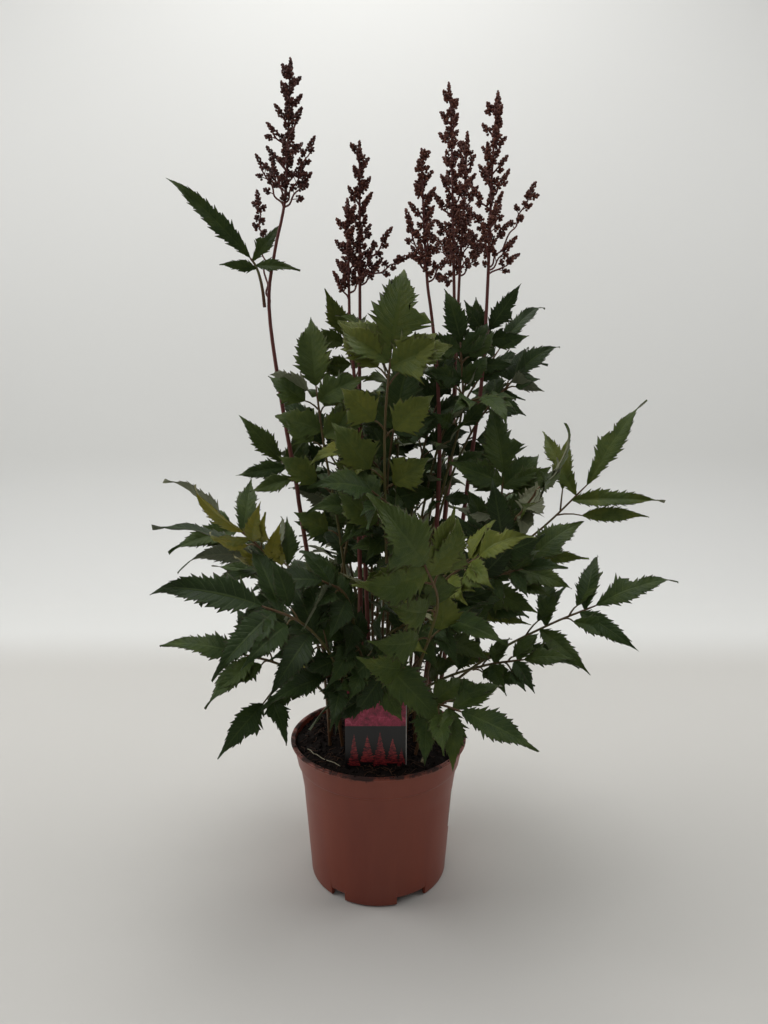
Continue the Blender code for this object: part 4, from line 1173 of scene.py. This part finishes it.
def lathe(profile, angles, place):        # a closed surface turned about Z, with its two ends on the axis
    verts = []
    for angle in angles:
        turn = math.radians(angle)
        for radius, z in profile:
            radius, z = place(radius, z, angle)
            verts.append((radius * math.sin(turn), -radius * math.cos(turn), z))
    count = len(profile)
    first = len(verts)
    verts += [(0, 0, profile[0][1]), (0, 0, profile[-1][1])]
    faces = []
    for side in range(len(angles)):
        here = side * count
        there = (side + 1) % len(angles) * count
        for k in range(count - 1):
            faces.append((here + k, there + k, there + k + 1, here + k + 1))
        faces.append((first, there, here))
        faces.append((first + 1, here + count - 1, there + count - 1))
    return verts, faces


def potPlastic():        # polypropylene, injection moulded: satin skin, faint flow lines, peat dust
    material, tree, place = newMaterial("terracotta polypropylene, moulded")
    flow = noiseOf(tree, stretched(tree, place, (1.0, 1.0, 0.15)), 40.0, 4.0, 0.6)
    tone = tones(tree, flow, ((0.3, "#793220"), (0.7, "#843c27")))
    # peat dust: specks a millimetre across, thick at the lip and thin down the wall
    specks = addNode(tree, "ShaderNodeTexVoronoi", {"feature": "F1"}, {"Vector": place, "Scale": 260.0})
    dustNoise = noiseOf(tree, place, 55.0, 5.0, 0.7)
    upward = between(tree, split(tree, place)["Z"], 0.1, 0.1165, -0.2, 0.42)
    dust = between(tree, maths(tree, "ADD", dustNoise, upward), 0.8, 0.95, 0.0, 0.9, "SMOOTHSTEP")
    dots = maths(tree, "MULTIPLY", maths(tree, "LESS_THAN", specks.outputs["Distance"], 0.16),
                 maths(tree, "GREATER_THAN", dustNoise, 0.66))
    dirt = maths(tree, "MAXIMUM", dots, dust)
    height = maths(tree, "MULTIPLY_ADD", noiseOf(tree, place, 1500.0), 0.12, dirt)
    surface(tree, {"Base Color": mixed(tree, dirt, tone, linear("#1a0f0a")), "IOR": 1.49,
                   "Roughness": maths(tree, "MULTIPLY_ADD", dirt, 0.45, 0.4),
                   "Normal": relief(tree, height, 0.25, 0.0005)})
    return material


def makePot():
    pot = linkMesh("pot_fine", *lathe(potOutline(), potAngles(), notched), [potPlastic()])
    stand(pot, "pot")
    shape = bmesh.new()
    shape.from_mesh(pot.data)
    bmesh.ops.recalc_face_normals(shape, faces=shape.faces)
    shape.to_mesh(pot.data)
    shape.free()
    drills = []
    for k in range(potDetail["drains"]):
        angle = fullTurn * (k + 0.5) / potDetail["drains"]
        middle = (potDetail["drainRingR"] * math.sin(angle), -potDetail["drainRingR"] * math.cos(angle))
        rings = [circle(potDetail["drainR"], z, potDetail["drainSides"], *middle)
                 for z in (potFloor + 2, potDetail["plateLow"] - 2)]
        drills.append(linkMesh("drill", *joinRings(rings), []))
    cutAway(pot, drills)
    pot.data.set_sharp_from_angle(angle=math.radians(potDetail["sharp"]))


def cutAway(obj, others):
    group = bpy.data.collections.new("others")
    bpy.context.scene.collection.children.link(group)
    for other in others:
        group.objects.link(other)
    modifier = obj.modifiers.new("cut", "BOOLEAN")
    modifier.operation = "DIFFERENCE"
    modifier.operand_type = "COLLECTION"
    modifier.collection = group
    modifier.solver = "MANIFOLD"
    bpy.context.view_layer.update()
    graph = bpy.context.evaluated_depsgraph_get()
    mesh = bpy.data.meshes.new_from_object(obj.evaluated_get(graph))
    obj.modifiers.clear()
    obj.data = mesh
    for other in others:
        bpy.data.objects.remove(other)
    bpy.data.collections.remove(group)


makePot()
print("pot made")


# Peat: a rough mound with crumbs, fibres, a pale root and a dry stalk

soilDetail = {
    "rings": 48, "sides": 160, "grit": 1.2, "swells": ((6.0, 1.1), (2.4, 0.7), (1.1, 0.4)),
    "crumbs": 1200, "crumbR": (0.5, 2.3), "onLip": 90, "fibres": 260, "fibreLength": (5, 17), "fibreR": 0.16,
    # the pale root's places, and the dry stalk's points, as the photo has them
    "root": ((-59, -24), (-56, -28), (-53, -33), (-50, -37), (-45, -41), (-40, -46), (-35, -49), (-30, -53)),
    "rootR": 0.36, "rootLift": 0.9, "stalk": ((35, -52, 117), (38, -49, 122), (42, -45, 129), (47, -42, 135)),
    "stalkR": (1.7, 0.5),
}
soilEdgeR = potOutside(soilBed["edgeZ"]) - potDetail["wall"] - 0.15


def peatMaterial():        # milled peat: dark brown, lighter where its bump stands high and darker in its hollows
    material, tree, place = newMaterial("milled peat")
    coarse = noiseOf(tree, place, 150.0, 6.0, 0.7)
    height = maths(tree, "MULTIPLY", coarse, noiseOf(tree, place, 900.0, 4.0, 0.7))
    tone = tones(tree, height, ((0.12, "#080403"), (0.3, "#170e0a"), (0.45, "#2e1f17")))
    surface(tree, {"Base Color": tone, "Roughness": 0.95, "Specular IOR Level": 0.2,
                   "Normal": relief(tree, height, 0.8, 0.0008)})
    return material


def soilTop(x, y):
    rough = sum(noise.noise(Vector((x, y, 0)) / size) * height for size, height in soilDetail["swells"])
    return soilHeight(x, y) + soilDetail["grit"] * rough


def soilMound(shape):
    sides = soilDetail["sides"]
    rings = soilDetail["rings"]
    verts = [(0, 0, soilTop(0, 0))]
    for ring in range(1, rings + 1):
        verts += [(x, y, soilTop(x, y)) for x, y, z in circle(soilEdgeR * ring / rings, 0, sides)]
    floor = potFloor + 0.35
    for z in (96.0, 94.6, 76.0, floor):
        verts += circle(potOutside(z) - potDetail["wall"] - 0.3, z, sides)
        rings += 1
    verts.append((0, 0, floor))
    faces = []
    for k in range(sides):
        after = (k + 1) % sides
        faces.append((0, 1 + k, 1 + after))
        for low in range(1, 1 + (rings - 1) * sides, sides):
            faces.append((low + k, low + sides + k, low + sides + after, low + after))
        low = 1 + (rings - 1) * sides
        faces.append((low + k, len(verts) - 1, low + after))
    shape.add(verts, faces, 0, 0.5)


def crumb(shape, place, size, chance):
    turn = Matrix.Rotation(chance.uniform(0, fullTurn), 3, randomHeading(chance))
    verts = []
    for corner in ((1, 0, 0), (-1, 0, 0), (0, 1, 0), (0, -1, 0), (0, 0, 1), (0, 0, -1)):
        verts.append(place + turn @ Vector(corner) * size * chance.uniform(0.55, 1.25))
    faces = [(0, 2, 4), (2, 1, 4), (1, 3, 4), (3, 0, 4), (2, 0, 5), (1, 2, 5), (3, 1, 5), (0, 3, 5)]
    shape.add(verts, faces, 0, 0.5)


def somewhere(radius, chance):        # a place on the soil, as likely anywhere
    place = radius * math.sqrt(chance.random())
    turn = chance.uniform(0, fullTurn)
    return Vector((place * math.cos(turn), place * math.sin(turn), 0))


def scatterCrumbs(shape, chance):
    for k in range(soilDetail["crumbs"]):
        place = somewhere(soilEdgeR - 1, chance)
        size = chance.uniform(*soilDetail["crumbR"]) * chance.random() + 0.4
        place.z = soilTop(place.x, place.y) + size * 0.25
        crumb(shape, place, size, chance)
    for k in range(soilDetail["onLip"]):        # most of them lie on the front of the lip
        radius = chance.uniform(soilEdgeR - 0.5, potDetail["lipR"] - 1.2)
        turn = chance.gauss(-math.pi / 2, 1.5)
        size = chance.uniform(0.3, 0.9)
        z = potDetail["height"] + size * 0.2
        if radius <= soilEdgeR + 1.4:
            z = soilBed["edgeZ"] + chance.uniform(1, 4)
        crumb(shape, Vector((radius * math.cos(turn), radius * math.sin(turn), z)), size, chance)


def layFibre(shape, chance):
    start = somewhere(soilEdgeR - 3, chance)
    heading = Vector((chance.uniform(-1, 1), chance.uniform(-1, 1), 0)).normalized()
    length = chance.uniform(*soilDetail["fibreLength"])
    points = []
    for step in range(5):
        point = start + heading * length * step / 4
        heading.rotate(Matrix.Rotation(chance.uniform(-0.5, 0.5), 3, "Z"))
        if math.hypot(point.x, point.y) > soilEdgeR - 1:
            break
        point.z = soilTop(point.x, point.y) + 0.5 + 1.4 * math.sin(math.pi * step / 4) * chance.random()
        points.append(point)
    if len(points) > 2:
        radii = [soilDetail["fibreR"] * chance.uniform(0.7, 1.8)] * len(points)
        verts, faces = tube(points, radii, 4)
        shape.add(verts, faces, chance.choice((0, 1, 1)), 0.5)


def makeSoil():
    chance = random.Random("peat")
    shape = Shape()
    soilMound(shape)
    scatterCrumbs(shape, chance)
    for k in range(soilDetail["fibres"]):
        layFibre(shape, chance)
    lift = soilDetail["rootLift"]
    line = spline([Vector((x, y, soilTop(x, y) + lift)) for x, y in soilDetail["root"]], 4)
    shape.add(*tube(line, [soilDetail["rootR"]] * len(line), 6), 2, 0.5)
    line = spline([Vector(point) for point in soilDetail["stalk"]], 4)
    thick, thinner = soilDetail["stalkR"]
    shape.add(*tube(line, [thick - thinner * k / len(line) for k in range(len(line))], 10), 3, 0.5)
    plant = stalkMaterial("fibres in the peat", ((0.0, "#2c1a10"), (0.5, "#4a3020"), (1.0, "#6b5138")), 0.8)
    pale = stalkMaterial("living root", ((0.0, "#8d8670"), (1.0, "#b3ab92")), 0.6)
    dry = stalkMaterial("dry stalk", ((0.0, "#5a5a3c"), (0.5, "#8a8264"), (1.0, "#a39a7c")), 0.8)
    shape.build("soil_fine", [peatMaterial(), plant, pale, dry], "soil")


makeSoil()
print("peat made")


# The tag: thin printed plastic with a generic print of feathery plumes

tagLook = {
    # a generic plume: its middle, foot, height and half width at the foot, in metres
    "plumes": ((-0.019, 0.115, 0.026, 0.0042), (-0.0085, 0.118, 0.022, 0.0052),
               (0.0015, 0.113, 0.030, 0.0058), (0.0115, 0.117, 0.021, 0.0048),
               (0.0185, 0.113, 0.017, 0.0036)),
    "plumeTints": ((0.38, "#12070a"), (0.5, "#7c1c28"), (0.62, "#b4413c")), "ground": "#090708",
    "fieldTints": ((0.3, "#2c0a10"), (0.45, "#86183a"), (0.56, "#b02a4e"), (0.68, "#c9607c")),
    "fieldFoot": 0.1475, "edge": "#a9a5a0", "edgeStart": 0.0219, "blank": "#b9b6b0", "frontFacing": -0.5,
    "bevel": 0.15, "roundAbove": 150.0,
}


def plumeShape(tree, x, z, ripple, plume):        # 1 inside a plume with a frayed edge
    middle, foot, height, reach = plume
    part = maths(tree, "DIVIDE", maths(tree, "SUBTRACT", z, foot), height)
    narrow = between(tree, part, 0.0, 1.0, reach, 0.0)
    away = maths(tree, "ABSOLUTE", maths(tree, "SUBTRACT", x, middle))
    frayed = maths(tree, "MULTIPLY", maths(tree, "MULTIPLY", narrow, 2.0), ripple)
    inside = maths(tree, "LESS_THAN", away, frayed)
    return maths(tree, "MULTIPLY", inside, maths(tree, "GREATER_THAN", part, 0.0))


def tagPrint():        # polystyrene sheet, printed and varnished
    material, tree, place = newMaterial("printed polystyrene tag")
    point = split(tree, place)
    ripple = noiseOf(tree, stretched(tree, place, (0.5, 1.0, 1.6)), 760.0, 4.0, 0.75)
    plumes = 0.0
    for plume in tagLook["plumes"]:
        plumes = maths(tree, "MAXIMUM", plumes, plumeShape(tree, point["X"], point["Z"], ripple, plume))
    lower = mixed(tree, plumes, linear(tagLook["ground"]), tones(tree, ripple, tagLook["plumeTints"]))
    field = tones(tree, noiseOf(tree, place, 170.0, 6.0, 0.75, 0.6), tagLook["fieldTints"])
    both = mixed(tree, maths(tree, "GREATER_THAN", point["Z"], tagLook["fieldFoot"]), lower, field)
    edge = maths(tree, "GREATER_THAN", point["X"], tagLook["edgeStart"])
    edged = mixed(tree, edge, both, linear(tagLook["edge"]))
    facing = split(tree, addNode(tree, "ShaderNodeNewGeometry").outputs["Normal"])["Y"]
    printed = maths(tree, "LESS_THAN", facing, tagLook["frontFacing"])
    surface(tree, {"Base Color": mixed(tree, printed, linear(tagLook["blank"]), edged), "IOR": 1.55,
                   "Roughness": 0.42, "Normal": relief(tree, noiseOf(tree, place, 60.0), 0.1, 0.001)})
    return material


def makeTag():
    half = labelCard["thickness"] / 2
    bevel = tagLook["bevel"]
    middle = (labelCard["left"] + labelCard["right"]) / 2
    rings = []
    for depth, shrink in ((-half, bevel), (bevel - half, 0), (half - bevel, 0), (half, bevel)):
        rings.append([(x - shrink * (1 if x > middle else -1), labelCard["y"] + depth,
                       z - shrink * (1 if z > tagLook["roundAbove"] else 0)) for x, z in labelOutline(0, 10)])
    tag = linkMesh("tag_fine", *joinRings(rings), [tagPrint()])
    tag.data.shade_flat()
    stand(tag, "label")


makeTag()
print("tag made")


# The bare white sticker on the wall

stickerCard = {
    "angle": 80.0, "halfWidth": 9.0, "low": 42.0, "high": 76.0, "gap": 0.1, "thickness": 0.25, "corner": 2.0,
    "columns": 24, "rows": 16,
}


def stickerPaper():        # coated paper label: matt white with a faint fibre grain
    material, tree, place = newMaterial("coated paper sticker")
    fibre = noiseOf(tree, place, 700.0, 4.0)
    surface(tree, {"Base Color": tones(tree, fibre, ((0.3, "#e2e0da"), (0.7, "#efeeea"))), "IOR": 1.5,
                   "Roughness": 0.5, "Normal": relief(tree, fibre, 0.15, 0.0002)})
    return material


def makeSticker():
    rows = stickerCard["rows"]
    columns = stickerCard["columns"]
    corner = stickerCard["corner"]
    verts = []
    for lift in (stickerCard["gap"] + stickerCard["thickness"], stickerCard["gap"]):
        for r in range(rows + 1):
            z = stickerCard["low"] + (stickerCard["high"] - stickerCard["low"]) * r / rows
            fromEnd = min(z - stickerCard["low"], stickerCard["high"] - z)
            pull = 0.0 if fromEnd >= corner else corner - math.sqrt(corner ** 2 - (corner - fromEnd) ** 2)
            reach = (stickerCard["halfWidth"] - pull) / potOutside(z)
            radius = potOutside(z) + lift
            for c in range(columns + 1):
                angle = math.radians(stickerCard["angle"]) + reach * (2 * c / columns - 1)
                verts.append((radius * math.sin(angle), -radius * math.cos(angle), z))
    faces, kinds = twoSided(rows + 1, columns + 1)
    stand(linkMesh("sticker_fine", verts, faces, [stickerPaper()]), "sticker")


makeSticker()
print("sticker made")


# Stage: a plain pale floor and backdrop, soft light and the camera, in metres

stageLook = {
    "floor": "#cfcdc8", "wall": "#e3e3e0", "backdropY": 1.1, "size": 6.0, "blend": (0.44, 0.66), "round": 0.3,
    "below": 0.0005, "world": "#e6e8ea", "worldStrength": 0.13,
    # each light: its place, what it points at, its width and its power in watts
    "lights": {
        "left": ((-1.5, 0.05, 1.3), (0, 0, 0.3), 1.2, 12.5),
        "right": ((1.5, 0.15, 1.2), (0, 0, 0.3), 1.2, 9),
        "top": ((-0.1, 0.1, 2.1), (0, 0.1, 0.3), 1.4, 11.5),
        "front": ((-0.5, -1.9, 1.5), (0, 0, 0.35), 1.2, 3.5),
        "wall wash": ((0.0, 0.3, 1.9), (0, 1.1, 0.45), 1.2, 7),
    },
}


def stageMaterial():        # seamless paper: floor tone near the pot, wall tone behind it
    material, tree, place = newMaterial("seamless paper")
    part = between(tree, split(tree, place)["Y"], *stageLook["blend"], 0.0, 1.0, "SMOOTHSTEP")
    colour = tones(tree, part, ((0.0, stageLook["floor"]), (1.0, stageLook["wall"])))
    surface(tree, {"Base Color": colour, "Roughness": 0.85, "Specular IOR Level": 0.2})
    return material


def makeStage():        # one sheet: the floor, a round and the wall
    half = stageLook["size"] / 2
    wallY = stageLook["backdropY"]
    bend = stageLook["round"]
    profile = [(-half, 0.0), (0.0, 0.0), (wallY - bend, 0.0)]
    for turn in np.linspace(0.1, math.pi / 2, 12):
        profile.append((wallY - bend + bend * math.sin(turn), bend - bend * math.cos(turn)))
    profile.append((wallY, half))
    count = len(profile)
    verts = [(x, y, z - stageLook["below"]) for x in (-half, half) for y, z in profile]
    faces = [(k, count + k, count + k + 1, k + 1) for k in range(count - 1)]
    linkMesh("stage", verts, faces, [stageMaterial()], 1.0)


def makeLights():
    for name, (place, target, size, power) in stageLook["lights"].items():
        light = bpy.data.lights.new(name, "AREA")
        light.shape = "DISK"
        light.size = size
        light.energy = power
        obj = bpy.data.objects.new(name, light)
        obj.location = place
        obj.rotation_euler = (Vector(target) - Vector(place)).to_track_quat("-Z", "Y").to_euler()
        bpy.context.scene.collection.objects.link(obj)
    world = bpy.data.worlds.new("studio")
    world.use_nodes = True
    background = world.node_tree.nodes["Background"]
    background.inputs["Color"].default_value = linear(stageLook["world"])
    background.inputs["Strength"].default_value = stageLook["worldStrength"]
    bpy.context.scene.world = world
    bpy.context.scene.view_settings.view_transform = "Standard"


# the photo's camera: focal length and middle in its own pixels, place in metres, tilt in radians
cameraFit = {
    "focal": 680.0, "middle": (382.5, 474.0), "frame": (768, 1024), "place": (0.0035, -0.570, 0.391),
    "tilt": 0.0855, "sensor": 36.0, "clipStart": 0.02,
}


def makeCamera():
    camera = bpy.data.cameras.new("camera")
    width, height = cameraFit["frame"]
    longSide = max(width, height)
    camera.sensor_width = cameraFit["sensor"]
    camera.lens = cameraFit["focal"] / longSide * cameraFit["sensor"]
    camera.shift_x = (width / 2 - cameraFit["middle"][0]) / longSide
    camera.shift_y = (cameraFit["middle"][1] - height / 2) / longSide
    camera.clip_start = cameraFit["clipStart"]
    obj = bpy.data.objects.new("camera", camera)
    obj.location = cameraFit["place"]
    obj.rotation_euler = (math.pi / 2 - cameraFit["tilt"], 0, 0)
    bpy.context.scene.collection.objects.link(obj)
    bpy.context.scene.camera = obj


makeStage()
makeLights()
makeCamera()
print("stage, lights and camera set")
